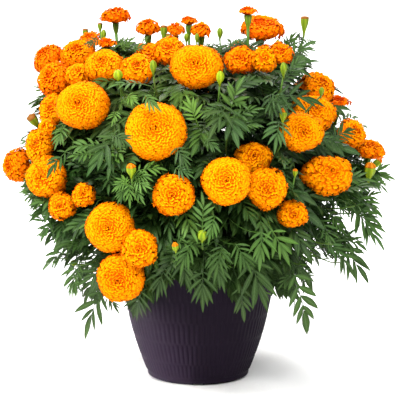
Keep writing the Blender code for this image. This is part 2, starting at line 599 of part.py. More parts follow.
def growing_leaves(axes, flowers, pairs_at, seed):
    """Leaves in crossed pairs along each stem, drooping as they reach out."""
    rng = random.Random(seed)
    buds = [axis["bud"] for axis in axes if axis["bud"]]
    leaves = []
    for k, axis in enumerate(axes):
        turn = rng.uniform(0, math.pi)
        for step, at in enumerate(pairs_at[axis["kind"]]):
            root = bezier(*axis["points"], at)
            along = (bezier(*axis["points"], min(at + 0.03, 1.0)) - bezier(*axis["points"], at - 0.03)).normalized()
            right, up = frame_about(along)
            for half in range(2):
                for attempt in range(9):
                    angle = turn + step * math.pi / 2 + half * math.pi + 0.5 * attempt + rng.uniform(-0.25, 0.25)
                    side = right * math.cos(angle) + up * math.sin(angle)
                    length = (0.132 - 0.052 * at) * rng.uniform(0.85, 1.15) * (0.64 if root.z > 0.49 else 1.0)
                    length *= 0.94 ** attempt
                    outward = (root - HEART).normalized()
                    first = (along * 0.45 + side * 0.9 + outward * 0.25 + Vector((0, 0, 0.12))).normalized()
                    droop = 0.55 + 0.35 * rng.random() - 0.35 * max(0.0, (root.z - 0.42) / 0.16)
                    base = root + first * length * 0.34
                    last = (first * 0.75 + Vector((0, 0, -1)) * droop).normalized()
                    tip = base + (first * 0.35 + last * 0.65).normalized() * length * 0.74
                    reach = math.hypot(tip.x, tip.y)
                    limit = canopy_radius(max(tip.z, 0.08)) + 0.008
                    if reach > limit or tip.z > 0.600 or tip.z < 0.085:
                        continue
                    if tip.z < 0.30 and abs(tip.x) > 0.15 and rng.random() < 0.45:
                        break
                    out = ((base + tip) / 2 - HEART).normalized() + Vector((0, 0, 0.35))
                    ahead = (tip - base).normalized()
                    out = (out - ahead * out.dot(ahead)).normalized()
                    leaf = {
                        "axis": k, "at": at, "root": root, "base": base, "tip": tip, "out": out,
                        "tone": rng.random() * 0.35 + (0.35 if at > 0.85 else 0.0),
                        "marked": False, "spaced": False, "length": (tip - base).length,
                    }
                    pts = leaf_points(leaf)
                    side_way = ahead.cross(out) * 0.17 * leaf["length"]
                    tests = list(pts[1:]) + [pts[3] + side_way, pts[3] - side_way, (pts[3] + pts[4]) / 2, (pts[2] + pts[3]) / 2]
                    ends = tests[1:] + [pts[3] + 1.6 * side_way, pts[3] - 1.6 * side_way]
                    if not all(in_outline(*sheet_place(q)[:2]) for q in ends):
                        continue
                    if any(covers_flower(q, f) for q in ends for f in flowers):
                        continue
                    if any(covers_bud(q, b) for q in ends for b in buds):
                        continue
                    if leaf_is_clear(tests, flowers, 0.004):
                        leaves.append(leaf)
                        break
    return leaves




# --------------------------------------------------------------------------
# Solids
# --------------------------------------------------------------------------
SHEET_PAIRS = {"flower": (0.50, 0.74), "bud": (0.62,), "shoot": (0.50, 0.72, 0.92)}
LEAVES_PER_STEM = 13
SEGMENTS = 32               # round the pot and the soil


def clear_scene():
    for obj in list(bpy.data.objects):
        bpy.data.objects.remove(obj, do_unlink=True)


def material(name, colour, roughness, metallic=0.0):
    mat = bpy.data.materials.new(name)
    mat.use_nodes = True
    shader = mat.node_tree.nodes["Principled BSDF"]
    shader.inputs["Base Color"].default_value = (*colour, 1.0)
    shader.inputs["Roughness"].default_value = roughness
    shader.inputs["Metallic"].default_value = metallic
    mat.diffuse_color = (*colour, 1.0)
    return mat


def add_object(name, verts, faces, mat, smooth=True, triangles=False):
    mesh = bpy.data.meshes.new(name)
    mesh.from_pydata([tuple(v) for v in verts], [], faces)
    bm = bmesh.new()
    bm.from_mesh(mesh)
    bmesh.ops.recalc_face_normals(bm, faces=bm.faces)
    if triangles:
        bmesh.ops.triangulate(bm, faces=bm.faces)
    bm.to_mesh(mesh)
    bm.free()
    if smooth:
        mesh.shade_smooth()
        mesh.set_sharp_from_angle(angle=math.radians(40))
    if mat:
        mesh.materials.append(mat)
    obj = bpy.data.objects.new(name, mesh)
    bpy.context.scene.collection.objects.link(obj)
    return obj


def tube(rings):
    """Closed solid through rings of points, each ring a list of the same number of corners."""
    sides = len(rings[0])
    verts = [p for ring in rings for p in ring]
    faces = [tuple(range(sides))[::-1]]
    for i in range(len(rings) - 1):
        a, b = i * sides, (i + 1) * sides
        for j in range(sides):
            k = (j + 1) % sides
            faces.append((a + j, a + k, b + k, b + j))
    last = (len(rings) - 1) * sides
    faces.append(tuple(range(last, last + sides)))
    return verts, faces


def round_rings(centres, radii, sides):
    """Rings square to a path, carried along it without twisting."""
    rings = []
    across = None
    for i, c in enumerate(centres):
        a = centres[max(i - 1, 0)]
        b = centres[min(i + 1, len(centres) - 1)]
        along = (b - a).normalized()
        if across is None:
            across = frame_about(along)[0]
        across = (across - along * across.dot(along)).normalized()
        other = along.cross(across)
        rings.append([
            c + (across * math.cos(2 * math.pi * j / sides) + other * math.sin(2 * math.pi * j / sides)) * radii[i]
            for j in range(sides)
        ])
    return rings


def turned(profile, segments):
    """Verts and faces of a closed profile turned about the vertical axis; a radius of 0 is a pole."""
    verts, rows = [], []
    for r, z in profile:
        if r < 1e-9:
            rows.append([len(verts)])
            verts.append(Vector((0, 0, z)))
        else:
            rows.append(list(range(len(verts), len(verts) + segments)))
            for j in range(segments):
                a = 2 * math.pi * (j + 0.5) / segments
                verts.append(Vector((r * math.cos(a), r * math.sin(a), z)))
    faces = []
    for a, b in zip(rows, rows[1:]):
        for j in range(segments):
            k = (j + 1) % segments
            if len(a) == 1:
                faces.append((a[0], b[k], b[j]))
            elif len(b) == 1:
                faces.append((a[j], a[k], b[0]))
            else:
                faces.append((a[j], a[k], b[k], b[j]))
    return verts, faces


WALL_LEVELS = (0.0085, 0.018, 0.0364, 0.0709, 0.125, 0.1835)


def bowl_wall(offset, heights):
    """Wall points inward of the outside by offset, on the straight runs between the wall's levels."""
    points = []
    for z in heights:
        i = max(j for j in range(len(WALL_LEVELS) - 1) if WALL_LEVELS[j] <= z + 1e-9)
        low, high = WALL_LEVELS[i], WALL_LEVELS[i + 1]
        t = (z - low) / (high - low)
        r = curve_value(POT_OUTSIDE, low) * (1 - t) + curve_value(POT_OUTSIDE, high) * t
        points.append((r - offset, z))
    return points


def cutter(name, verts, faces):
    obj = add_object(name, verts, faces, None, smooth=False)
    obj.hide_render = True
    obj.display_type = "WIRE"
    return obj


def block(centre, size, turn):
    c, s = math.cos(turn), math.sin(turn)
    verts = []
    for dx in (-0.5, 0.5):
        for dy in (-0.5, 0.5):
            for dz in (-0.5, 0.5):
                x, y = dx * size[0], dy * size[1]
                verts.append(Vector((centre[0] + x * c - y * s, centre[1] + x * s + y * c, centre[2] + dz * size[2])))
    faces = [(0, 1, 3, 2), (4, 6, 7, 5), (0, 4, 5, 1), (2, 3, 7, 6), (0, 2, 6, 4), (1, 5, 7, 3)]
    return verts, faces


def make_pot(mat):
    floor_low, floor_high = FOOT_HEIGHT, FOOT_HEIGHT + 0.0032
    outside = bowl_wall(0.0, WALL_LEVELS)
    inside = bowl_wall(POT_WALL, WALL_LEVELS[:0:-1])
    rim = POT_RIM_RADIUS + POT_LIP
    profile = (
        [(0.0, floor_low), (FOOT_RADIUS - 0.0055, floor_low), (FOOT_RADIUS - 0.005, 0.0), (FOOT_RADIUS, 0.0),
         (FOOT_RADIUS + 0.001, FOOT_HEIGHT - 0.0005), (0.0788, 0.0044)]
        + outside
        + [(rim, 0.1846), (rim + 0.0003, 0.1885), (rim - 0.0012, POT_HEIGHT), (rim - 0.0048, POT_HEIGHT)]
        + inside
        + [(0.0765, floor_high + 0.0022), (0.0725, floor_high), (0.0, floor_high)]
    )
    verts, faces = turned(profile, SEGMENTS)
    pot = add_object("pot", verts, faces, mat)
    for i in range(FOOT_NOTCHES):
        a = 2 * math.pi * i / FOOT_NOTCHES - math.pi / 2
        reach = FOOT_RADIUS - 0.002
        notch = cutter("notch_cutter_%d" % (i + 1), *block(
            (math.cos(a) * reach, math.sin(a) * reach, 0.0), (0.016, NOTCH_WIDTH, 2 * 0.0018), a
        ))
        cut = pot.modifiers.new("notch_%d" % (i + 1), "BOOLEAN")
        cut.operation, cut.solver, cut.object = "DIFFERENCE", "EXACT", notch
        b = a + math.pi / FOOT_NOTCHES
        hole_at = Vector((math.cos(b) * DRAIN_CIRCLE, math.sin(b) * DRAIN_CIRCLE, 0.0))
        rings = round_rings([hole_at + Vector((0, 0, z)) for z in (0.001, 0.009)], [DRAIN_RADIUS] * 2, 12)
        hole = cutter("drain_cutter_%d" % (i + 1), *tube(rings))
        cut = pot.modifiers.new("drain_%d" % (i + 1), "BOOLEAN")
        cut.operation, cut.solver, cut.object = "DIFFERENCE", "EXACT", hole
    return pot


def make_soil(mat):
    low = FOOT_HEIGHT + 0.0032 + GAP
    offset = POT_WALL + GAP
    sides = bowl_wall(offset, WALL_LEVELS[1:-1] + (SOIL_TOP,))
    profile = [(0.0, low), (0.0715, low), (0.0756, low + 0.0025)] + sides + [(0.0, SOIL_TOP)]
    return add_object("soil", *turned(profile, SEGMENTS), mat, smooth=False)


HEAD_SECTION = ((0.30, -0.75), (0.80, -0.56), (1.0, -0.04), (0.82, 0.58), (0.44, 0.90), (0.0, 1.0))


def head_solid(f, sides):
    verts, rows = [], []
    for r, h in HEAD_SECTION:
        mid = f["centre"] + f["n"] * (h * f["thick"])
        if r == 0.0:
            rows.append([len(verts)])
            verts.append(mid)
            continue
        rows.append(list(range(len(verts), len(verts) + sides)))
        for j in range(sides):
            a = 2 * math.pi * j / sides
            verts.append(mid + f["right"] * (math.cos(a) * r * f["radius"]) + f["up"] * (math.sin(a) * r * f["tall"]))
    faces = [tuple(rows[0])[::-1]]
    for a, b in zip(rows, rows[1:]):
        for j in range(sides):
            k = (j + 1) % sides
            if len(b) == 1:
                faces.append((a[j], a[k], b[0]))
            else:
                faces.append((a[j], a[k], b[k], b[j]))
    return verts, faces


def axis_path(axis):
    steps = 3
    return [bezier(*axis["points"], i / steps) for i in range(steps + 1)]


def on_path(path, at):
    s = at * (len(path) - 1)
    i = min(int(s), len(path) - 2)
    return path[i].lerp(path[i + 1], s - i)


def axis_solid(axis):
    """A stalk, and on its end the cup of a flower, a young flower or a bud."""
    path = axis_path(axis)
    r = axis["radius"]
    if axis["kind"] == "shoot":
        radii = [r * (1.15 - 0.6 * i / (len(path) - 1)) for i in range(len(path))]
        return tube(round_rings(path, radii, 3))
    n = axis["n"]
    centres, radii = list(path), [r * (1.2 - 0.2 * i / (len(path) - 1)) for i in range(len(path))]
    sides = 4 if axis["kind"] == "flower" else 3
    if axis["kind"] == "bud":
        b = axis["bud"]
        w, h = b["width"] / 2, b["length"]
        for t, k in ((0.40, 1.0), (1.0, 0.45)):
            centres.append(path[-1] + n * (h * t))
            radii.append(w * k)
        return tube(round_rings(centres, radii, sides))
    f = axis["flower"]
    cup, wide = f["cup_length"], f["cup_radius"]
    if f["open"] < 1.0:
        centres.append(path[-1] + n * (cup * 0.6))
        radii.append(wide)
        rings = round_rings(centres, radii, 5)
        for k, h in ((0.84, -0.50), (1.0, 0.0), (0.50, 0.92)):
            mid = f["centre"] + n * (h * f["thick"])
            first = (rings[0][0] - centres[0])
            first = (first - n * first.dot(n)).normalized()
            other = n.cross(first)
            rings.append([
                mid + (first * math.cos(2 * math.pi * j / 5) + other * math.sin(2 * math.pi * j / 5)) * (k * f["radius"])
                for j in range(5)
            ])
        return tube(rings)
    centres.append(path[-1] + n * (cup * 0.5))
    radii.append(wide)
    centres.append(f["seat"] - n * GAP)
    radii.append(wide * 0.95)
    rings = round_rings(centres, radii, sides)
    # the last ring is square to the flower's own direction
    last = centres[-1]
    first = rings[-1][0] - last
    first = (first - n * first.dot(n)).normalized()
    other = n.cross(first)
    rings[-1] = [
        last + (first * math.cos(2 * math.pi * j / sides) + other * math.sin(2 * math.pi * j / sides)) * radii[-1]
        for j in range(sides)
    ]
    return tube(rings)


def leaf_solid(leaf, root, grow=0.0):
    """A thin blade over the whole leaf, on a stalk from the stem."""
    _, bend, base, middle, tip = leaf_points(leaf)
    out = leaf["out"]
    points = (root, base, middle) if leaf["marked"] else (root, base.lerp(middle, 0.5))
    wide = 0.21 * leaf["length"]
    halves = ((0.0009, 0.0009), (0.0020, 0.0008), (wide, 0.0008))
    halves = halves if leaf["marked"] else (halves[0], halves[2])
    rings = []
    for i, c in enumerate(points):
        a = points[max(i - 1, 0)]
        b = tip if i == len(points) - 1 else points[i + 1]
        along = (b - a).normalized()
        side = along.cross(out).normalized()
        flat = side.cross(along)
        w, t = halves[i][0] + grow, halves[i][1] + grow
        rings.append([c + side * w + flat * grow, c - side * w + flat * grow, c - flat * (2 * t)])
    verts = [p for ring in rings for p in ring]
    end = tip + (tip - points[-1]).normalized() * grow
    verts.append(end)
    faces = [(2, 1, 0)]
    for i in range(len(rings) - 1):
        for j in range(3):
            k = (j + 1) % 3
            faces.append((3 * i + j, 3 * i + k, 3 * i + 3 + k, 3 * i + 3 + j))
    q = 3 * (len(rings) - 1)
    for j in range(3):
        faces.append((q + j, q + (j + 1) % 3, 3 * len(rings)))
    return verts, faces


def tree_of(solid):
    return BVHTree.FromPolygons([tuple(v) for v in solid[0]], solid[1], epsilon=0.0)


def islands(bm):
    """Groups of connected vertices, the largest first."""
    left, groups = set(bm.verts), []
    while left:
        start = left.pop()
        group, edge_of = {start}, [start]
        while edge_of:
            v = edge_of.pop()
            for e in v.link_edges:
                w = e.other_vert(v)
                if w not in group:
                    group.add(w)
                    left.discard(w)
                    edge_of.append(w)
        groups.append(group)
    return sorted(groups, key=len, reverse=True)


def is_closed(bm):
    """Every edge is shared by two triangles, also once points within a micrometre are one."""
    for grid, shift in ((1e6, 0.0), (1e6, 0.5), (1e7, 0.0), (1e7, 0.5), (4e5, 0.25)):
        spot = {v: tuple(math.floor(x * grid + shift) for x in v.co) for v in bm.verts}
        count = {}
        for face in bm.faces:
            corners = [spot[v] for v in face.verts]
            if len(corners) != 3:
                return False
            if len(set(corners)) < 3:
                continue
            for i in range(3):
                key = frozenset((corners[i], corners[(i + 1) % 3]))
                count[key] = count.get(key, 0) + 1
        if any(n != 2 for n in count.values()):
            return False
    return True


def union_mesh(base, helpers, solver):
    union = base.modifiers.new("union", "BOOLEAN")
    union.operation, union.solver = "UNION", solver
    union.operand_type, union.collection = "COLLECTION", helpers
    bpy.context.view_layer.update()
    graph = bpy.context.evaluated_depsgraph_get()
    mesh = bpy.data.meshes.new_from_object(base.evaluated_get(graph), depsgraph=graph)
    base.modifiers.clear()
    bm = bmesh.new()
    bm.from_mesh(mesh)
    bmesh.ops.triangulate(bm, faces=bm.faces)
    for group in islands(bm)[1:]:
        bmesh.ops.delete(bm, geom=list(group), context="VERTS")
    collapse_short_edges(bm, 0.00035)
    return bm, mesh, is_closed(bm)


def collapse_short_edges(bm, shortest):
    """Takes out slivers: each short edge is collapsed where the surface stays closed."""
    for _ in range(4):
        short = sorted((e for e in bm.edges if e.calc_length() < shortest), key=lambda e: e.calc_length())
        done = set()
        chosen = []
        for e in short:
            a, b = e.verts
            if a in done or b in done:
                continue
            near = {x.other_vert(a) for x in a.link_edges} & {x.other_vert(b) for x in b.link_edges}
            if len(near) != 2:
                continue
            done.update(x.other_vert(v) for v in (a, b) for x in v.link_edges)
            done.update((a, b))
            chosen.append(e)
        if not chosen:
            return
        bmesh.ops.collapse(bm, edges=chosen)


def join_by_union(name, solids, mat):
    """One closed body from solids that run into each other. Where faces fall too nearly in
    line to be joined, the pieces are shifted by a few hundredths of a millimetre."""
    helpers = bpy.data.collections.new(name + "_pieces")
    bpy.context.scene.collection.children.link(helpers)
    base = add_object(name, *solids[0], mat, triangles=True)
    for i, (verts, faces) in enumerate(solids[1:]):
        piece = add_object("%s_piece_%d" % (name, i), verts, faces, mat, smooth=False, triangles=True)
        bpy.context.scene.collection.objects.unlink(piece)
        helpers.objects.link(piece)
    rng = random.Random(name)
    closed = False
    for attempt in range(1, 9):
        for piece in helpers.objects:
            piece.location = [0.00003 * attempt * rng.uniform(-1.0, 1.0) for _ in range(3)]
        for solver in ("EXACT", "MANIFOLD"):
            if not closed:
                bm, mesh, closed = union_mesh(base, helpers, solver)
        if closed:
            break
    old = base.data
    base.data = mesh
    bpy.data.meshes.remove(old)
    for piece in list(helpers.objects):
        bpy.data.objects.remove(piece, do_unlink=True)
    bpy.data.collections.remove(helpers)
    mesh.name = name
    if bm.calc_volume(signed=True) < 0:
        bmesh.ops.reverse_faces(bm, faces=bm.faces)
    bm.to_mesh(mesh)
    bm.free()
    mesh.materials.clear()
    mesh.materials.append(mat)
    return base


def main():
    clear_scene()
    pot_mat = material("pot_plastic", (0.045, 0.030, 0.058), 0.45)
    soil_mat = material("potting_soil", (0.050, 0.032, 0.020), 0.95)
    leaf_mat = material("leaf_green", (0.075, 0.150, 0.045), 0.55)
    make_pot(pot_mat)
    make_soil(soil_mat)

    flowers, buds = all_flowers(), all_buds()
    stems, axes, _ = all_axes(flowers, buds)
    heads = []              # what the stems and leaves keep clear of
    for f in flowers:
        if f["open"] < 1.0:
            continue
        solid = head_solid(f, 10 if f["radius"] > 0.03 else 8)
        mat = material(f["name"] + "_petals", (0.95, 0.36 - 0.22 * f["tone"], 0.012), 0.6)
        add_object(f["name"], *solid, mat)
        heads.append(tree_of(solid))

    solids = [[] for _ in stems]
    trees = [[] for _ in stems]
    for i, s in enumerate(stems):
        path = [bezier(*s["points"], t / 4) for t in range(5)]
        rings = round_rings(path, [0.0052 - 0.0022 * t / 4 for t in range(5)], 5)
        rings[0] = [Vector((p.x, p.y, SOIL_TOP + GAP)) for p in rings[0]]
        solids[i].append(tube(rings))
        trees[i].append(tree_of(solids[i][0]))

    def is_clear(solid, stem):
        """Does the solid miss every flower head, and every stem but its own?"""
        tree = tree_of(solid)
        if any(tree.overlap(head) for head in heads):
            return False
        return not any(tree.overlap(t) for j in range(len(stems)) if j != stem for t in trees[j])

    for axis in axes:
        i = axis["stem"]
        solid = axis_solid(axis)
        if is_clear(solid, i):
            solids[i].append(solid)
            trees[i].append(tree_of(solid))
            axis["path"] = axis_path(axis)

    count = [0 for _ in stems]
    for leaf in marked_leaves(axes) + growing_leaves(axes, flowers, SHEET_PAIRS, 7):
        axis = axes[leaf["axis"]]
        i = axis["stem"]
        if "path" not in axis or (count[i] >= LEAVES_PER_STEM and not leaf["marked"]):
            continue
        root = on_path(axis["path"], leaf["at"])
        if is_clear(leaf_solid(leaf, root, 0.0009), i):
            solids[i].append(leaf_solid(leaf, root))
            trees[i].append(tree_of(solids[i][-1]))
            count[i] += 1

    for i, s in enumerate(stems):
        join_by_union(s["name"], solids[i], leaf_mat)


main()
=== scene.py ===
import math
import random

import bmesh
import bpy
import numpy as np
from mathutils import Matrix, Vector


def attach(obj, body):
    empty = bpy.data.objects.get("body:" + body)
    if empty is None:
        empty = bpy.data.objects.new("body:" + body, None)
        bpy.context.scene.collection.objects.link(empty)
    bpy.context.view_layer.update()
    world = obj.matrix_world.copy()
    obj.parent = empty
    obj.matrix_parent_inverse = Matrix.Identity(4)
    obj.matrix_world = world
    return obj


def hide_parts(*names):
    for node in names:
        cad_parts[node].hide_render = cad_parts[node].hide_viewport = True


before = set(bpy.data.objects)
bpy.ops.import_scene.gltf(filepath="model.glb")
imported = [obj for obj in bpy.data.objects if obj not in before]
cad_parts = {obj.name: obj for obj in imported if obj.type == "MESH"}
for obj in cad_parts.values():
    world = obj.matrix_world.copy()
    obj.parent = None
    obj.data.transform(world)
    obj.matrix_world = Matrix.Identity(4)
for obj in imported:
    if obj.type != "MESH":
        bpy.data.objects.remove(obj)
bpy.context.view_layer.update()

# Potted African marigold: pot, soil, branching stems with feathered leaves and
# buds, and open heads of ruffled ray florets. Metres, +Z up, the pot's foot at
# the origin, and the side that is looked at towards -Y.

# --------------------------------------------------------------------------
# Driving dimensions, in metres
# --------------------------------------------------------------------------
POT_HEIGHT = 0.190          # floor to rim
POT_RIM_RADIUS = 0.1295     # outside, under the rolled lip
POT_WALL = 0.0028
POT_LIP = 0.0022            # how far the lip stands out
FOOT_RADIUS = 0.0735        # outside of the foot ring
FOOT_HEIGHT = 0.0035
FOOT_NOTCHES = 5
NOTCH_WIDTH = 0.015
SOIL_TOP = 0.172
GAP = 0.0003                # clearance between touching pieces
DRAIN_RADIUS = 0.005        # drain holes in the floor, between the notches
DRAIN_CIRCLE = 0.052

# outside of the pot wall: (height, radius)
POT_OUTSIDE = (
    (0.0085, 0.0818), (0.018, 0.0860), (0.0364, 0.0929), (0.0540, 0.0990),
    (0.0709, 0.1044), (0.0980, 0.1112), (0.125, 0.1168), (0.158, 0.1232),
    (0.1845, 0.1288),
)

# outline of the whole bush: (height, radius)
CANOPY = (
    (0.075, 0.172), (0.120, 0.200), (0.155, 0.234), (0.200, 0.260),
    (0.250, 0.276), (0.300, 0.288), (0.340, 0.298), (0.380, 0.290),
    (0.410, 0.276), (0.445, 0.260), (0.485, 0.247), (0.524, 0.222),
    (0.565, 0.170), (0.590, 0.120), (0.604, 0.050),
)

# The front elevation is laid out as it is seen from a point two metres away,
# on a sheet 400 units square at 1250 units from the eye. Across and down are
# counted from the sheet's top left corner, and the pot's axis is at 198.
EYE_X = 0.003
EYE_DISTANCE = 2.0
EYE_HEIGHT = 0.4802
EYE_TILT = 0.0974
SHEET_FOCUS = 1250.0
SHEET_MIDDLE = 200.0

# Open flower heads seen from the front: name, across, down, width, height (all
# in sheet units), depth (1 on the front of the bush, 0 level with the pot's
# axis, below 0 behind it), yaw and rise of the face in degrees, and tone (0 a
# golden orange, 1 a deep orange).
FRONT_HEADS = (
    ("flower_head_01", 155.5, 131.0, 62.5, 58.0, 0.97, -5, 12, 0.00),
    ("flower_head_02", 196.5, 66.5, 53.0, 43.0, 0.84, -3, 14, 0.26),
    ("flower_head_03", 83.0, 105.5, 56.0, 46.0, 0.84, -14, 14, 0.20),
    ("flower_head_04", 226.5, 181.0, 50.0, 48.0, 0.97, 4, 10, 0.00),
    ("flower_head_05", 253.0, 158.5, 37.0, 31.0, 0.74, 8, 20, 0.00),
    ("flower_head_06", 267.0, 188.0, 41.0, 41.0, 0.88, 10, 4, 0.08),
    ("flower_head_07", 173.5, 195.0, 42.0, 41.0, 0.96, 0, 2, 0.14),
    ("flower_head_08", 110.5, 227.5, 51.0, 50.0, 0.94, -10, 2, 0.05),
    ("flower_head_09", 139.5, 248.5, 36.0, 38.0, 1.02, 4, 0, 0.08),
    ("flower_head_10", 120.5, 278.0, 49.0, 48.0, 1.02, -8, -8, 0.15),
    ("flower_head_11", 327.5, 175.0, 53.0, 36.0, 0.62, 16, 22, 0.10),
    ("flower_head_12", 301.5, 132.0, 45.0, 38.0, 0.80, 10, 6, 0.08),
    ("flower_head_13", 312.5, 114.0, 48.0, 36.0, 0.42, 18, 30, 0.14),
    ("flower_head_14", 318.0, 88.0, 35.0, 27.0, 0.05, 38, 42, 0.28),
    ("flower_head_15", 351.0, 134.0, 29.0, 25.0, 0.12, 35, 30, 0.26),
    ("flower_head_16", 370.0, 150.5, 29.0, 20.0, 0.00, 20, 66, 0.45),
    ("flower_head_17", 292.5, 214.0, 30.0, 25.0, 0.86, 10, 0, 0.06),
    ("flower_head_18", 40.0, 145.5, 33.0, 35.0, 0.36, -34, 14, 0.12),
    ("flower_head_19", 18.5, 165.5, 33.0, 33.0, -0.10, -58, 6, 0.60),
    ("flower_head_20", 46.5, 177.0, 45.0, 38.0, 0.60, -24, 6, 0.18),
    ("flower_head_21", 62.0, 206.0, 29.0, 25.0, 0.74, -20, 4, 0.18),
    ("flower_head_22", 55.5, 80.0, 36.0, 32.0, 0.20, -36, 22, 0.75),
    ("flower_head_23", 49.0, 59.5, 32.0, 26.0, -0.60, -60, 46, 0.85),
    ("flower_head_24", 78.5, 56.0, 35.0, 29.0, -0.02, -14, 48, 0.55),
    ("flower_head_25", 80.0, 75.0, 30.0, 21.0, 0.34, -12, 42, 0.30),
    ("flower_head_26", 104.5, 66.0, 40.0, 31.0, 0.50, -8, 36, 0.22),
    ("flower_head_27", 137.5, 69.0, 33.0, 29.0, 0.66, -2, 36, 0.28),
    ("flower_head_28", 149.5, 56.0, 27.0, 25.0, 0.30, 0, 40, 0.50),
    ("flower_head_29", 169.5, 51.0, 31.0, 27.0, 0.55, 2, 40, 0.45),
    ("flower_head_30", 241.0, 60.5, 32.0, 27.0, 0.52, -4, 34, 0.60),
    ("flower_head_31", 264.5, 59.5, 24.0, 33.0, 0.66, 12, 16, 0.14),
    ("flower_head_32", 262.0, 29.0, 42.0, 24.0, -0.10, 6, 64, 0.80),
    ("flower_head_33", 115.5, 17.0, 27.0, 17.5, 0.10, -6, 80, 0.95),
)

# Open flower heads on the sides and the back: name, azimuth from the front
# towards +X in degrees, height, diameter in metres, rise, tone.
BACK_HEADS = (
    ("flower_head_34", 182, 0.425, 0.088, 20, 0.10),
    ("flower_head_35", 148, 0.350, 0.092, 10, 0.15),
    ("flower_head_36", 217, 0.345, 0.082, 10, 0.20),
    ("flower_head_37", 176, 0.292, 0.084, 4, 0.12),
    ("flower_head_38", 131, 0.450, 0.064, 34, 0.45),
    ("flower_head_39", 236, 0.450, 0.068, 34, 0.45),
    ("flower_head_40", 139, 0.270, 0.074, 4, 0.30),
    ("flower_head_41", 222, 0.245, 0.084, 0, 0.20),
    ("flower_head_42", 160, 0.520, 0.056, 52, 0.65),
    ("flower_head_43", 206, 0.515, 0.062, 50, 0.60),
    ("flower_head_44", 151, 0.212, 0.066, -6, 0.30),
    ("flower_head_45", 204, 0.205, 0.076, -6, 0.20),
)

# Flowers that are only part open, and stay in one piece with their stems:
# name, across, down, width, height, depth, yaw, rise, tone, openness.
YOUNG_FLOWERS = (
    ("young_flower_01", 148.0, 29.0, 23.0, 19.0, 0.10, 0, 74, 0.90, 0.90),
    ("young_flower_02", 175.5, 31.0, 18.0, 15.0, 0.00, 4, 70, 0.90, 0.85),
    ("young_flower_03", 201.0, 31.5, 18.5, 17.5, 0.35, 0, 62, 0.80, 0.80),
    ("young_flower_04", 189.0, 22.0, 16.0, 10.5, -0.30, 0, 84, 1.00, 0.45),
    ("young_flower_05", 248.0, 12.0, 18.0, 10.5, 0.60, -4, 84, 1.00, 0.40),
    ("young_flower_06", 338.0, 102.0, 23.0, 11.0, -0.05, 24, 76, 1.00, 0.60),
    ("young_flower_07", 106.0, 44.0, 20.0, 11.0, 0.30, 4, 80, 1.00, 0.45),
    ("young_flower_08", 281.0, 53.5, 23.0, 21.0, 0.30, 14, 40, 0.55, 0.90),
    ("young_flower_09", 53.0, 109.5, 30.0, 28.0, 0.41, -30, 20, 0.30, 0.98),
    ("young_flower_10", 47.5, 127.0, 17.0, 16.0, 0.62, -38, 10, 0.25, 0.90),
    ("young_flower_11", 91.0, 40.0, 21.0, 15.0, -0.35, -10, 60, 0.90, 0.90),
    ("young_flower_12", 84.0, 195.0, 24.0, 22.0, 0.80, -14, 10, 0.15, 0.90),
)

# Buds: across, down (of the middle), width, height, depth, yaw, rise, kind.
# Kinds: 0 green, 1 green with an orange tip, 2 a tall cone with a brown top,
# 3 a round yellow-green one.
BUDS = (
    (85.3, 33.5, 5.5, 9.5, -0.80, -8, 80, 2),
    (100.0, 27.0, 5.0, 8.0, 0.05, -4, 84, 2),
    (103.5, 34.5, 5.5, 10.0, 0.20, 4, 84, 0),
    (163.5, 32.5, 6.5, 14.0, 0.20, 2, 86, 2),
    (186.5, 37.5, 5.5, 8.0, 0.35, 6, 80, 0),
    (219.8, 33.0, 6.0, 10.5, 0.10, 0, 86, 0),
    (196.8, 38.0, 4.5, 9.5, 0.46, 2, 84, 0),
    (220.0, 77.0, 8.0, 12.0, 0.98, 6, 78, 3),
    (153.0, 66.5, 7.0, 13.0, 0.95, -4, 74, 0),
    (304.3, 24.0, 8.0, 15.0, 0.00, 10, 82, 2),
    (283.5, 69.0, 7.0, 13.0, 0.85, -6, 78, 0),
    (321.4, 91.5, 5.0, 9.0, 0.60, 10, 76, 0),
    (34.5, 121.5, 9.5, 16.0, 0.42, -38, 44, 2),
    (118.0, 75.0, 9.5, 11.0, 0.95, -6, 60, 3),
    (131.0, 169.5, 9.5, 12.5, 1.07, -4, 72, 1),
    (369.6, 170.5, 11.5, 16.5, 0.30, 20, 78, 1),
    (175.3, 247.0, 6.5, 11.0, 1.05, -10, 60, 1),
    (74.0, 263.0, 6.0, 9.0, 0.45, -40, 24, 0),
    (202.5, 235.5, 10.0, 12.0, 1.06, 4, 54, 3),
    (295.0, 172.5, 5.0, 8.0, 0.84, 6, 80, 1),
    (283.0, 114.5, 7.5, 13.0, 0.95, 8, 80, 1),
)
# The same on the sides and the back: azimuth, height, width, length, rise, kind.
BACK_BUDS = (
    (118, 0.43, 0.011, 0.022, 60, 2),
    (140, 0.535, 0.010, 0.021, 78, 0),
    (195, 0.545, 0.011, 0.023, 80, 2),
    (165, 0.40, 0.012, 0.021, 40, 1),
    (225, 0.41, 0.011, 0.020, 44, 0),
    (100, 0.34, 0.012, 0.022, 40, 1),
    (238, 0.33, 0.012, 0.021, 40, 3),
    (236, 0.27, 0.011, 0.020, 20, 1),
    (190, 0.35, 0.010, 0.018, 30, 0),
)

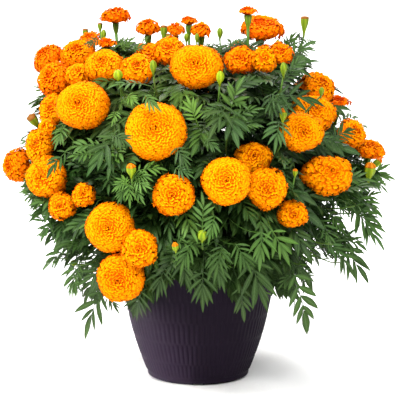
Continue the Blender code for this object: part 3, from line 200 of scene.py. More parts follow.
# Leaves seen one by one from the front: across and down of the first leaflets,
# across and down of the tip, depth, tone (0 an old blue-green, 1 a young
# yellow-green), and a last 1 or 2 where the leaflets are few and far apart, 2
# for three narrow pairs.
MARKED_LEAVES = (
    (66, 152, 47, 175, 1.15, 0.2, 2), (63, 128, 56, 152, 1.12, 0.35), (112, 138, 88, 178, 1.02, 0.05), (116, 142, 108, 182, 0.98, 0.04),
    (113, 134, 135, 147, 1.20, 0.05), (145, 95, 161, 114, 1.36, 0.3),
    (128, 96, 140, 106, 1.22, 0.8), (116, 112, 112, 128, 1.02, 0.6),
    (129, 184, 131, 207, 1.04, 0.5, 2), (136, 176, 156, 178, 1.03, 0.5),
    (127, 180, 112, 190, 1.02, 0.5), (127, 186, 117, 203, 1.0, 0.35),
    (134, 187, 145, 205, 1.02, 0.4, 2), (136, 181, 153, 191, 1.04, 0.55), (127, 184, 122, 174, 1.05, 0.9),
    (226, 106, 206, 143, 1.03, 0.05), (228, 112, 236, 152, 1.00, 0.04),
    (221, 107, 200, 118, 1.00, 0.15), (270, 94, 272, 126, 0.98, 0.05),
    (272, 94, 290, 106, 1.0, 0.1), (279, 95, 321, 102, 1.10, 0.02, 2), (272, 100, 297, 113, 1.06, 0.02, 2),
    (335, 137, 353, 128, 0.60, 0.15), (368, 175, 395, 178, 0.1, 0.3), (371, 177, 387, 161, 0.12, 0.25), (279, 122, 272, 156, 1.04, 0.15),
    (366, 177, 388, 191, 0.15, 0.25), (352, 196, 381, 214, 0.3, 0.35),
    (350, 202, 379, 226, 0.35, 0.25), (352, 205, 372, 240, 0.4, 0.3),
    (354, 208, 381, 252, 0.25, 0.2), (338, 238, 364, 246, 0.5, 0.25),
    (336, 240, 365, 280, 0.45, 0.2), (332, 242, 350, 276, 0.55, 0.25),
    (334, 198, 348, 218, 0.45, 0.2), (330, 212, 344, 236, 0.5, 0.3), (322, 220, 332, 250, 0.55, 0.25),
    (290, 276, 276, 289, 0.92, 0.2), (294, 274, 306, 327, 0.97, 0.25, 1),
    (299, 268, 312, 280, 0.9, 0.25), (262, 232, 258, 268, 1.1, 0.35),
    (272, 230, 288, 262, 1.08, 0.5), (101, 291, 87, 332, 0.92, 0.14, 2),
    (107, 297, 122, 311, 0.98, 0.25), (242, 118, 228, 146, 0.62, 0.02),
    (68, 248, 46, 267, 0.5, 0.25, 2), (62, 232, 30, 208, 0.2, 0.25),
    (58, 226, 38, 236, 0.35, 0.25), (78, 262, 72, 292, 0.7, 0.3),
    (164, 268, 156, 297, 1.0, 0.02), (203, 272, 201, 307, 1.0, 0.12),
    (182, 258, 188, 290, 0.98, 0.02), (241, 287, 242, 317, 0.98, 0.08, 2),
    (252, 262, 262, 306, 1.03, 0.12), (212, 256, 226, 288, 1.04, 0.12), (141, 292, 136, 314, 1.02, 0.15),
    (215, 216, 206, 244, 1.08, 0.35), (222, 246, 214, 280, 1.06, 0.2),
    (236, 244, 252, 272, 1.06, 0.25), (192, 244, 176, 272, 1.04, 0.3),
    (288, 62, 314, 38, 0.3, 0.25, 2), (290, 70, 319, 60, 0.35, 0.2, 2),
    (288, 52, 299, 32, 0.0, 0.3, 2), (292, 66, 312, 78, 0.3, 0.15, 2),
    (230, 46, 243, 40, 0.2, 0.7), (128, 50, 118, 42, 0.2, 0.7),
    (46, 92, 33, 86, 0.1, 0.4), (30, 142, 20, 143, 0.3, 0.4),
    (36, 190, 20, 192, 0.3, 0.4), (328, 138, 346, 152, 0.75, 0.04),
    (176, 148, 192, 172, 1.05, 0.12), (196, 120, 186, 96, 1.0, 0.8),
    (205, 140, 222, 152, 0.98, 0.08), (176, 168, 196, 178, 1.03, 0.12),
    (122, 48, 138, 38, 0.25, 0.3), (134, 50, 148, 44, 0.35, 0.35), (142, 42, 150, 35, 0.15, 0.6),
    (98, 41, 84, 46, 0.5, 0.02), (286, 48, 296, 30, 0.0, 0.5), (296, 52, 317, 50, 0.15, 0.2, 2),
    (232, 44, 226, 38, 0.2, 0.6), (240, 46, 250, 38, 0.25, 0.5), (176, 46, 186, 40, 0.4, 0.5),
    (206, 48, 212, 42, 0.3, 0.5),
)

# Outline of the leaves on the front elevation, round it clockwise. The notches
# at the right and the points along the bottom are gaps between hanging leaves.
OUTLINE = (
    (14, 150), (22, 128), (30, 86), (40, 62), (56, 48), (92, 44), (112, 40), (122, 35),
    (136, 37), (144, 46), (205, 46), (221, 44), (227, 36), (241, 38), (284, 27), (293, 32),
    (305, 36), (316, 42), (318, 60), (311, 76), (330, 84), (350, 98), (364, 122), (380, 140),
    (388, 160), (396, 176), (385, 192), (374, 197), (382, 210), (383, 236), (381, 254), (374, 238),
    (364, 226), (354, 224), (346, 212), (338, 216), (346, 236), (364, 240), (364, 256), (368, 282),
    (352, 270), (338, 262), (318, 270), (310, 292), (305, 328), (298, 326), (288, 304), (276, 298),
    (268, 292), (262, 306), (256, 297), (250, 308), (240, 318), (230, 314), (220, 288), (214, 292),
    (206, 308), (192, 303), (184, 287), (172, 288), (160, 300), (148, 314), (136, 320), (124, 308),
    (110, 312), (98, 326), (84, 333), (74, 312), (66, 284), (50, 268), (38, 240), (30, 226),
    (25, 208), (16, 194), (10, 178),
)

# Main stems: (azimuth, angle from upright) of the part of the bush each feeds.
STEM_AIMS = tuple((i * 90.0, 26.0) for i in range(4)) + tuple(
    (22.5 + i * 45.0, 74.0) for i in range(8)
)
SHOOTS = 44                 # leafy side shoots with no flower
HEART = Vector((0.0, 0.0, 0.26))


def curve_value(table, x):
    """Smooth (Catmull-Rom) reading of a table of (x, value)."""
    last = len(table) - 1
    if x <= table[0][0]:
        return table[0][1]
    if x >= table[last][0]:
        return table[last][1]
    i = max(j for j in range(last) if table[j][0] <= x)
    x0, y0 = table[i]
    x1, y1 = table[i + 1]
    t = (x - x0) / (x1 - x0)
    a = table[max(i - 1, 0)]
    b = table[min(i + 2, last)]
    m0 = (y1 - a[1]) / (x1 - a[0]) * (x1 - x0)
    m1 = (b[1] - y0) / (b[0] - x0) * (x1 - x0)
    return (
        (2 * t**3 - 3 * t**2 + 1) * y0 + (t**3 - 2 * t**2 + t) * m0
        + (3 * t**2 - 2 * t**3) * y1 + (t**3 - t**2) * m1
    )


def canopy_radius(z):
    return curve_value(CANOPY, z)


def sheet_point(across, down, y):
    """The point at depth y that shows at (across, down) on the front elevation."""
    dx = (across - SHEET_MIDDLE) / SHEET_FOCUS
    dz = (SHEET_MIDDLE - down) / SHEET_FOCUS
    c, s = math.cos(EYE_TILT), math.sin(EYE_TILT)
    ray = Vector((dx, c + dz * s, -s + dz * c))
    t = (y + EYE_DISTANCE) / ray.y
    return Vector((EYE_X, -EYE_DISTANCE, EYE_HEIGHT)) + ray * t


def sheet_place(p):
    """Where a point shows on the front elevation: across, down, and its distance."""
    c, s = math.cos(EYE_TILT), math.sin(EYE_TILT)
    dx, dy, dz = p.x - EYE_X, p.y + EYE_DISTANCE, p.z - EYE_HEIGHT
    depth = dy * c - dz * s
    return SHEET_MIDDLE + SHEET_FOCUS * dx / depth, SHEET_MIDDLE - SHEET_FOCUS * (dy * s + dz * c) / depth, depth


def in_outline(across, down):
    """Is a place on the front elevation within the outline of the leaves?"""
    inside = False
    for (x0, y0), (x1, y1) in zip(OUTLINE, OUTLINE[1:] + OUTLINE[:1]):
        if (y0 > down) != (y1 > down) and across < x0 + (down - y0) / (y1 - y0) * (x1 - x0):
            inside = not inside
    return inside


def bush_front(across, down):
    """Depth y at which a sight line meets the front of the bush."""
    y = -0.2
    for _ in range(6):
        p = sheet_point(across, down, y)
        r = canopy_radius(p.z)
        y = -math.sqrt(max(r * r - p.x * p.x, 0.0036))
    return y


def sheet_scale(y):
    return (y + EYE_DISTANCE) / SHEET_FOCUS


def facing(yaw, rise):
    a, e = math.radians(yaw), math.radians(rise)
    return Vector((math.sin(a) * math.cos(e), -math.cos(a) * math.cos(e), math.sin(e)))


def frame_about(n):
    """Right and up vectors across a direction n."""
    up = Vector((0.0, 0.0, 1.0)) if abs(n.z) < 0.97 else Vector((0.0, 1.0, 0.0))
    right = up.cross(n).normalized()
    return right, n.cross(right).normalized()


def make_flower(name, centre, radius, ratio, yaw, rise, tone, openness):
    """ratio is the drawn height over the drawn width."""
    n = facing(yaw, rise)
    view = (Vector((EYE_X, -EYE_DISTANCE, EYE_HEIGHT)) - centre).normalized()
    cosine = max(-1.0, min(1.0, n.dot(view)))
    sine = math.sqrt(1.0 - cosine * cosine)
    if ratio is None:
        thick, tall = 0.68, 0.97
    elif cosine > 0.707:
        thick = 0.68
        tall = math.sqrt(max(ratio**2 - (0.875 * thick * sine) ** 2, 0.25)) / cosine
        tall = max(0.74, min(1.1, tall))
    else:
        thick = max(0.56, min(0.95, (ratio - 0.35 * cosine) / 0.875 / sine))
        tall = 1.0
    right, up = frame_about(n)
    return {
        "name": name, "centre": centre, "n": n, "right": right, "up": up,
        "radius": radius, "tall": radius * tall, "thick": radius * thick,
        "tone": tone, "open": openness,
    }


def all_flowers():
    flowers = []
    for name, u, v, w, h, depth, yaw, rise, tone in FRONT_HEADS:
        y = depth * bush_front(u, v)
        flowers.append(make_flower(
            name, sheet_point(u, v, y), w / 2 * sheet_scale(y), h / w, yaw, rise, tone, 1.0
        ))
    for name, azimuth, z, diameter, rise, tone in BACK_HEADS:
        r = canopy_radius(z) * 0.99 - 0.003
        a = math.radians(azimuth)
        centre = Vector((math.sin(a) * r, -math.cos(a) * r, z))
        flowers.append(make_flower(name, centre, diameter / 2, None, azimuth, rise, tone, 1.0))
    for name, u, v, w, h, depth, yaw, rise, tone, openness in YOUNG_FLOWERS:
        y = depth * bush_front(u, v)
        flowers.append(make_flower(
            name, sheet_point(u, v, y), w / 2 * sheet_scale(y), h / w, yaw, rise, tone, openness
        ))
    for f in flowers:
        r = f["radius"]
        shut = 1.0 - f["open"]
        f["cup_length"] = (0.010 + 0.24 * r) * (1.0 + 0.7 * shut)
        f["cup_radius"] = (0.0022 + 0.10 * r) * (1.0 + 1.7 * shut)
        f["seat"] = f["centre"] - f["n"] * (0.75 * f["thick"])
        f["stalk_end"] = f["seat"] - f["n"] * f["cup_length"]
        f["sheet"] = sheet_place(f["centre"])
        f["back"] = f["centre"].y > 0.09
        view = (Vector((EYE_X, -EYE_DISTANCE, EYE_HEIGHT)) - f["centre"]).normalized()
        f["shown"] = math.hypot(f["tall"] * f["up"].cross(view).length, f["thick"] * f["n"].cross(view).length)
    return flowers


def all_buds():
    buds = []
    for u, v, w, h, depth, yaw, rise, kind in BUDS:
        y = depth * bush_front(u, v)
        s = sheet_scale(y)
        buds.append((sheet_point(u, v, y), w * s, h * s, facing(yaw, rise), kind))
    for azimuth, z, w, h, rise, kind in BACK_BUDS:
        a = math.radians(azimuth)
        r = canopy_radius(z) * 1.0
        buds.append((Vector((math.sin(a) * r, -math.cos(a) * r, z)), w, h, facing(azimuth, rise), kind))
    return [
        {"centre": c, "width": w, "length": h, "n": n, "kind": k, "stalk_end": c - n * (h / 2), "sheet": sheet_place(c)}
        for c, w, h, n, k in buds
    ]


def inside_flower(p, flower, margin):
    d = p - flower["centre"]
    a = d.dot(flower["right"]) / (flower["radius"] + margin)
    b = d.dot(flower["up"]) / (flower["tall"] + margin)
    along = d.dot(flower["n"])
    c = along / ((flower["thick"] if along > 0 else 0.8 * flower["thick"]) + margin)
    return a * a + b * b + c * c < 1.0


def inside_pot(p, margin):
    """Is the point in the pot's wall or soil, or closer to them than margin?"""
    if p.z > POT_HEIGHT + margin:
        return False
    r = math.hypot(p.x, p.y)
    outside = curve_value(POT_OUTSIDE, p.z) + POT_LIP
    if r > outside + margin:
        return False
    return p.z < SOIL_TOP + margin or r > outside - POT_WALL - POT_LIP - margin


def bezier(p0, p1, p2, p3, t):
    s = 1.0 - t
    return p0 * s**3 + p1 * (3 * s * s * t) + p2 * (3 * s * t * t) + p3 * t**3


def main_stems():
    stems = []
    for i, (azimuth, lean) in enumerate(STEM_AIMS):
        a, e = math.radians(azimuth), math.radians(lean)
        aim = Vector((math.sin(a) * math.sin(e), -math.cos(a) * math.sin(e), math.cos(e)))
        inner = lean < 45.0
        foot_angle = a + (math.radians(45.0) if inner else 0.0)
        foot = 0.020 if inner else 0.060
        base = Vector((math.sin(foot_angle) * foot, -math.cos(foot_angle) * foot, SOIL_TOP + GAP))
        fork = HEART + aim * (0.150 if inner else 0.142)
        reach = (fork - base).length
        stems.append({
            "name": "leafy_stem_%02d" % (i + 1), "aim": aim, "inner": inner,
            "points": (base, base + Vector((0, 0, reach * 0.45)), fork - aim * reach * 0.3, fork),
            "azimuth": a,
        })
    return stems


def axis_samples(points, count=26):
    return np.array([tuple(bezier(*points, i / (count - 1))) for i in range(count)])


def axis_is_clear(points, own_stem, flowers, own_flower, placed):
    samples = axis_samples(points)
    for i, q in enumerate(samples):
        p = Vector(q)
        if i > 2 and inside_pot(p, 0.006):
            return False
        for f in flowers:
            if f is own_flower and i > 22:
                continue
            if (p - f["centre"]).length < f["radius"] + 0.02 and inside_flower(p, f, 0.0045):
                return False
    for stem, other in placed:
        if stem == own_stem:
            continue
        gaps = np.linalg.norm(samples[:, None, :] - other[None, :, :], axis=2)
        if gaps.min() < 0.0085:
            return False
    return True


def all_axes(flowers, buds):
    """Every flower stalk, bud stalk and leafy shoot, each springing from a main stem."""
    stems = main_stems()
    placed = [(i, axis_samples(s["points"], 40)) for i, s in enumerate(stems)]
    axes = []

    def stem_for(p):
        d = (p - HEART).normalized()
        return max(range(len(stems)), key=lambda i: d.dot(stems[i]["aim"]))

    def spring(kind, end, n, own_flower, own_bud, thickness):
        order = sorted(range(len(stems)), key=lambda i: -(end - HEART).normalized().dot(stems[i]["aim"]))
        for i in order[:2]:
            trunk = stems[i]["points"]
            low, high = (0.60, 1.0) if stems[i]["inner"] else (0.52, 1.0)
            rise = (end.z - 0.16) / 0.40
            for step in range(36):
                s = max(low, min(high, low + (high - low) * rise + 0.06 * ((step % 3) - 1)))
                start = bezier(*trunk, s)
                along = (bezier(*trunk, min(s + 0.02, 1.0)) - bezier(*trunk, s - 0.02)).normalized()
                reach = (end - start).length
                ahead = (end - start).normalized()
                side = ahead.cross(Vector((0, 0, 1)))
                side = side.normalized() if side.length > 0.1 else Vector((1, 0, 0))
                push = 0.012 * (step // 3)
                swing = side * push * (1 if step % 2 else -1) + Vector((0, 0, push * 0.5))
                p1 = start + (along * 0.55 + ahead * 0.45).normalized() * reach * 0.36 + swing
                p2 = end - n * reach * 0.36 + swing
                points = (start, p1, p2, end)
                if axis_is_clear(points, i, flowers, own_flower, placed):
                    placed.append((i, axis_samples(points)))
                    axes.append({
                        "stem": i, "kind": kind, "points": points, "flower": own_flower,
                        "bud": own_bud, "radius": thickness, "n": n,
                    })
                    return True
        return False

    missed = []
    for f in sorted(flowers, key=lambda f: -f["radius"]):
        if not spring("flower", f["stalk_end"], f["n"], f, None, 0.0014 + 0.016 * f["radius"]):
            missed.append(f["name"])
    for j, b in enumerate(buds):
        if not spring("bud", b["stalk_end"], b["n"], None, b, 0.0014):
            missed.append("bud %d" % j)

    # leafy shoots fill the gaps between the flowers, each as far as it can be from the rest
    rng = random.Random(20)
    tips = [f["centre"] for f in flowers] + [b["centre"] for b in buds]
    for _ in range(SHOOTS):
        best, best_gap = None, -1.0
        for _ in range(60):
            z = 0.155 + 0.425 * rng.random() ** 0.85
            a = rng.uniform(-math.pi, math.pi)
            r = canopy_radius(z) * 0.93
            p = Vector((math.sin(a) * r, -math.cos(a) * r, z))
            gap = min((p - q).length for q in tips)
            if not in_outline(*sheet_place(p * 1.04)[:2]) or any(covers_flower(p, f) for f in flowers):
                continue
            if gap > best_gap and not any(inside_flower(p, f, 0.02) for f in flowers):
                best, best_gap, best_a = p, gap, a
        if best is None:
            continue
        tips.append(best)
        n = facing(math.degrees(best_a), 10 + 60 * max(0.0, (best.z - 0.25) / 0.33))
        spring("shoot", best, n, None, None, 0.0013)
    return stems, axes, missed


def marked_leaves(axes):
    """The leaves that are placed one by one, each on a stalk from the nearest stem."""
    samples = [(k, axis_samples(a["points"], 30)) for k, a in enumerate(axes)]
    leaves, used = [], []
    for u0, v0, u1, v1, depth, tone, *spaced in MARKED_LEAVES:
        y0 = max(depth * bush_front(u0, v0), -0.294)
        y1 = max(depth * bush_front(u1, v1), -0.300)
        if abs(y1 - y0) > 0.05:
            y1 = y0 + math.copysign(0.05, y1 - y0)
        base, tip = sheet_point(u0, v0, y0), sheet_point(u1, v1, y1)
        best = None
        for k, pts in samples:
            for j in range(6, 28):
                p = Vector(pts[j])
                d = (p - base).length + 0.6 * max(0.0, (p - tip).length - (base - tip).length - (p - base).length + 0.02)
                if (p - HEART).length > (base - HEART).length + 0.01:
                    d += 0.05
                d += sum(0.006 * (2 - abs(j - i)) for a, i in used if a == k and abs(j - i) < 2)
                if best is None or d < best[0]:
                    best = (d, k, j, p)
        _, k, j, root = best
        used.append((k, j))
        ahead = (tip - base).normalized()
        out = 0.6 * ((base + tip) / 2 - HEART).normalized() + Vector((0.0, -1.0, 0.15))
        out = (out - ahead * out.dot(ahead)).normalized()
        leaves.append({
            "axis": k, "at": j / 29.0, "root": root, "base": base, "tip": tip, "out": out,
            "tone": tone, "marked": True, "spaced": spaced[0] if spaced else 0, "length": (tip - base).length,
        })
    return leaves


def covers_flower(p, flower):
    """Is the point in front of a flower's face, or between the flower and the eye?"""
    d = p - flower["centre"]
    along = d.dot(flower["n"])
    r = flower["radius"]
    if 0.0 < along < 1.8 * r + 0.02 and (d - flower["n"] * along).length < 0.85 * r:
        return True
    if flower["back"]:
        return False
    across, down, depth = flower["sheet"]
    u, v, near = sheet_place(p)
    if near > depth:
        return False
    size = SHEET_FOCUS / depth
    return math.hypot((u - across) / (0.90 * r * size), (v - down) / (0.90 * flower["shown"] * size)) < 1.0


def leaf_is_clear(points, flowers, margin):
    for p in points:
        if inside_pot(p, 0.004):
            return False
        for f in flowers:
            if (p - f["centre"]).length < f["radius"] + margin and inside_flower(p, f, margin):
                return False
    return True


def leaf_points(leaf):
    """Root on the stem, middle of the stalk, first leaflets, middle of the blade, tip."""
    root, base, tip, out = leaf["root"], leaf["base"], leaf["tip"], leaf["out"]
    ahead = (tip - base).normalized()
    stalk = (base - root)
    arch = 0.16 if stalk.length < 0.03 else -0.40 if stalk.length < 0.06 else -0.85
    bend = root + stalk * 0.5 + (out * arch - ahead * 0.10) * min(stalk.length, 0.07)
    middle = (base + tip) / 2 + out * 0.09 * (tip - base).length
    return root, bend, base, middle, tip


def covers_bud(p, bud):
    """Is the point between a bud and the eye?"""
    if bud["centre"].y > 0.09:
        return False
    across, down, depth = bud["sheet"]
    u, v, near = sheet_place(p)
    size = SHEET_FOCUS / depth
    return near < depth and abs(u - across) < 1.1 * bud["width"] * size and abs(v - down) < 0.62 * bud["length"] * size


def growing_leaves(axes, flowers, pairs_at, seed):
    """Leaves in crossed pairs along each stem, drooping as they reach out."""
    rng = random.Random(seed)
    buds = [axis["bud"] for axis in axes if axis["bud"]]
    leaves = []
    for k, axis in enumerate(axes):
        turn = rng.uniform(0, math.pi)
        for step, at in enumerate(pairs_at[axis["kind"]]):
            root = bezier(*axis["points"], at)
            along = (bezier(*axis["points"], min(at + 0.03, 1.0)) - bezier(*axis["points"], at - 0.03)).normalized()
            right, up = frame_about(along)
            for half in range(2):
                for attempt in range(9):
                    angle = turn + step * math.pi / 2 + half * math.pi + 0.5 * attempt + rng.uniform(-0.25, 0.25)
                    side = right * math.cos(angle) + up * math.sin(angle)
                    length = (0.132 - 0.052 * at) * rng.uniform(0.85, 1.15) * (0.64 if root.z > 0.49 else 1.0)
                    length *= 0.94 ** attempt
                    outward = (root - HEART).normalized()
                    first = (along * 0.45 + side * 0.9 + outward * 0.25 + Vector((0, 0, 0.12))).normalized()
                    droop = 0.55 + 0.35 * rng.random() - 0.35 * max(0.0, (root.z - 0.42) / 0.16)
                    base = root + first * length * 0.34
                    last = (first * 0.75 + Vector((0, 0, -1)) * droop).normalized()
                    tip = base + (first * 0.35 + last * 0.65).normalized() * length * 0.74
                    reach = math.hypot(tip.x, tip.y)
                    limit = canopy_radius(max(tip.z, 0.08)) + 0.008
                    if reach > limit or tip.z > 0.600 or tip.z < 0.085:
                        continue
                    if tip.z < 0.30 and abs(tip.x) > 0.15 and rng.random() < 0.45:
                        break
                    out = ((base + tip) / 2 - HEART).normalized() + Vector((0, 0, 0.35))
                    ahead = (tip - base).normalized()
                    out = (out - ahead * out.dot(ahead)).normalized()
                    leaf = {
                        "axis": k, "at": at, "root": root, "base": base, "tip": tip, "out": out,
                        "tone": rng.random() * 0.35 + (0.35 if at > 0.85 else 0.0),
                        "marked": False, "spaced": False, "length": (tip - base).length,
                    }
                    pts = leaf_points(leaf)
                    side_way = ahead.cross(out) * 0.17 * leaf["length"]
                    tests = list(pts[1:]) + [pts[3] + side_way, pts[3] - side_way, (pts[3] + pts[4]) / 2, (pts[2] + pts[3]) / 2]
                    ends = tests[1:] + [pts[3] + 1.6 * side_way, pts[3] - 1.6 * side_way]
                    if not all(in_outline(*sheet_place(q)[:2]) for q in ends):
                        continue
                    if any(covers_flower(q, f) for q in ends for f in flowers):
                        continue
                    if any(covers_bud(q, b) for q in ends for b in buds):
                        continue
                    if leaf_is_clear(tests, flowers, 0.004):
                        leaves.append(leaf)
                        break
    return leaves


# --------------------------------------------------------------------------
# Surfaces
# --------------------------------------------------------------------------
SHEET_PAIRS = {"flower": (0.50, 0.74), "bud": (0.62,), "shoot": (0.50, 0.72, 0.92), "trunk": ()}
DENSE_PAIRS = {
    "flower": (0.14, 0.27, 0.40, 0.52, 0.64, 0.76, 0.88), "bud": (0.20, 0.36, 0.52, 0.68, 0.84, 0.95),
    "shoot": (0.16, 0.30, 0.44, 0.56, 0.68, 0.80, 0.91, 0.98), "trunk": (0.34, 0.46, 0.58, 0.70, 0.82, 0.94),
}


def unit(v):
    return v / np.maximum(np.linalg.norm(v, axis=-1, keepdims=True), 1e-12)


def arr(v):
    return np.array(tuple(v), float)


class Surface:
    """Gathers faces, with a vector (growth) and a number (tone) for each point."""

    def __init__(self):
        self.points, self.growth, self.tone = [], [], []
        self.quads, self.triangles, self.count = [], [], 0

    def add(self, points, growth, tone, quads=None, triangles=None):
        points = np.asarray(points, float).reshape(-1, 3)
        n = len(points)
        self.points.append(points)
        self.growth.append(np.broadcast_to(np.asarray(growth, float).reshape(-1, 3), (n, 3)))
        self.tone.append(np.broadcast_to(np.asarray(tone, float).reshape(-1), (n,)))
        if quads is not None and len(quads):
            self.quads.append(np.asarray(quads, int).reshape(-1, 4) + self.count)
        if triangles is not None and len(triangles):
            self.triangles.append(np.asarray(triangles, int).reshape(-1, 3) + self.count)
        self.count += n

    def size(self):
        return 2 * sum(len(q) for q in self.quads) + sum(len(t) for t in self.triangles)

    def build(self, name, mat, sharp=None):
        quads = np.concatenate(self.quads) if self.quads else np.zeros((0, 4), int)
        triangles = np.concatenate(self.triangles) if self.triangles else np.zeros((0, 3), int)
        points = np.concatenate(self.points)
        mesh = bpy.data.meshes.new(name)
        mesh.vertices.add(len(points))
        mesh.vertices.foreach_set("co", points.astype(np.float32).ravel())
        corners = np.concatenate([quads.ravel(), triangles.ravel()])
        mesh.loops.add(len(corners))
        mesh.loops.foreach_set("vertex_index", corners.astype(np.int32))
        mesh.polygons.add(len(quads) + len(triangles))
        starts = np.concatenate([np.arange(len(quads)) * 4, 4 * len(quads) + np.arange(len(triangles)) * 3])
        mesh.polygons.foreach_set("loop_start", starts.astype(np.int32))
        mesh.update(calc_edges=True)
        layer = mesh.attributes.new("growth", "FLOAT_VECTOR", "POINT")
        layer.data.foreach_set("vector", np.concatenate(self.growth).astype(np.float32).ravel())
        layer = mesh.attributes.new("tone", "FLOAT", "POINT")
        layer.data.foreach_set("value", np.concatenate(self.tone).astype(np.float32))
        mesh.shade_smooth()
        if sharp:
            mesh.set_sharp_from_angle(angle=math.radians(sharp))
        mesh.materials.append(mat)
        obj = bpy.data.objects.new(name, mesh)
        bpy.context.scene.collection.objects.link(obj)
        return obj


def grid_quads(rows, columns, closed):
    """Quads of a grid of rows by columns of points, joined round where closed."""
    faces = []
    for i in range(rows - 1):
        for j in range(columns if closed else columns - 1):
            k = (j + 1) % columns
            faces.append((i * columns + j, i * columns + k, (i + 1) * columns + k, (i + 1) * columns + j))
    return np.array(faces, int)


def path_frames(path):
    """Two vectors across a path at each of its points, carried along it without twisting."""
    path = np.asarray(path, float)
    along = np.empty_like(path)
    along[1:-1] = path[2:] - path[:-2]
    along[0], along[-1] = path[1] - path[0], path[-1] - path[-2]
    along = unit(along)
    first = np.empty_like(path)
    start = np.array((0.0, 1.0, 0.0)) if abs(along[0][2]) > 0.8 else np.array((0.0, 0.0, 1.0))
    for i in range(len(path)):
        start = unit(start - along[i] * start.dot(along[i]))
        first[i] = start
    return along, first, np.cross(along, first)


def add_tube(out, path, radii, sides, growth_y, tone, ribs=0.0, cap=True, across=0.0):
    """A stalk: rings along a path. Its points' growth is (across, growth_y, how far along)."""
    path = np.asarray(path, float)
    radii = np.broadcast_to(np.asarray(radii, float), (len(path),))
    _, first, second = path_frames(path)
    turn = np.arange(sides) * 2 * math.pi / sides
    wave = 1.0 + ribs * np.cos(turn * (sides // 2))
    ring = first[:, None] * (np.cos(turn) * wave)[None, :, None] + second[:, None] * (np.sin(turn) * wave)[None, :, None]
    points = (path[:, None] + ring * radii[:, None, None]).reshape(-1, 3)
    far = np.repeat(np.linspace(0, 1, len(path)), sides)
    growth = np.stack([np.full_like(far, across), np.full_like(far, growth_y), far], 1)
    quads = grid_quads(len(path), sides, True)
    if cap:
        points = np.concatenate([points, path[:1], path[-1:]])
        growth = np.concatenate([growth, growth[:1], growth[-1:]])
        n = len(path) * sides
        last = n - sides
        fan = [(n, (j + 1) % sides, j) for j in range(sides)]
        fan += [(n + 1, last + j, last + (j + 1) % sides) for j in range(sides)]
        out.add(points, growth, tone, quads, fan)
    else:
        out.add(points, growth, tone, quads)


def bezier_path(points, steps, start=0.0):
    return np.array([tuple(bezier(*points, start + (1 - start) * i / steps)) for i in range(steps + 1)])


# ---- petals ---------------------------------------------------------------
PETAL_ROWS = np.array((0.25, 0.75, 1.0))
PETAL_COLUMNS = np.array((-1.0, -0.5, 0.0, 0.5, 1.0))
PETAL_QUADS = grid_quads(len(PETAL_ROWS), len(PETAL_COLUMNS), False)
LEAN_AT = (0.0, 0.30, 0.70, 1.20, 2.30)
RAGGED = {
    "flower_head_11": 0.9, "flower_head_12": 0.25, "flower_head_13": 0.6, "flower_head_14": 0.8, "flower_head_18": 0.6,
    "flower_head_20": 0.5, "flower_head_22": 0.6, "flower_head_24": 0.5, "flower_head_26": 0.35, "flower_head_32": 0.6,
}
LEAN = (0.10, 0.30, 0.62, 0.98, 1.25)


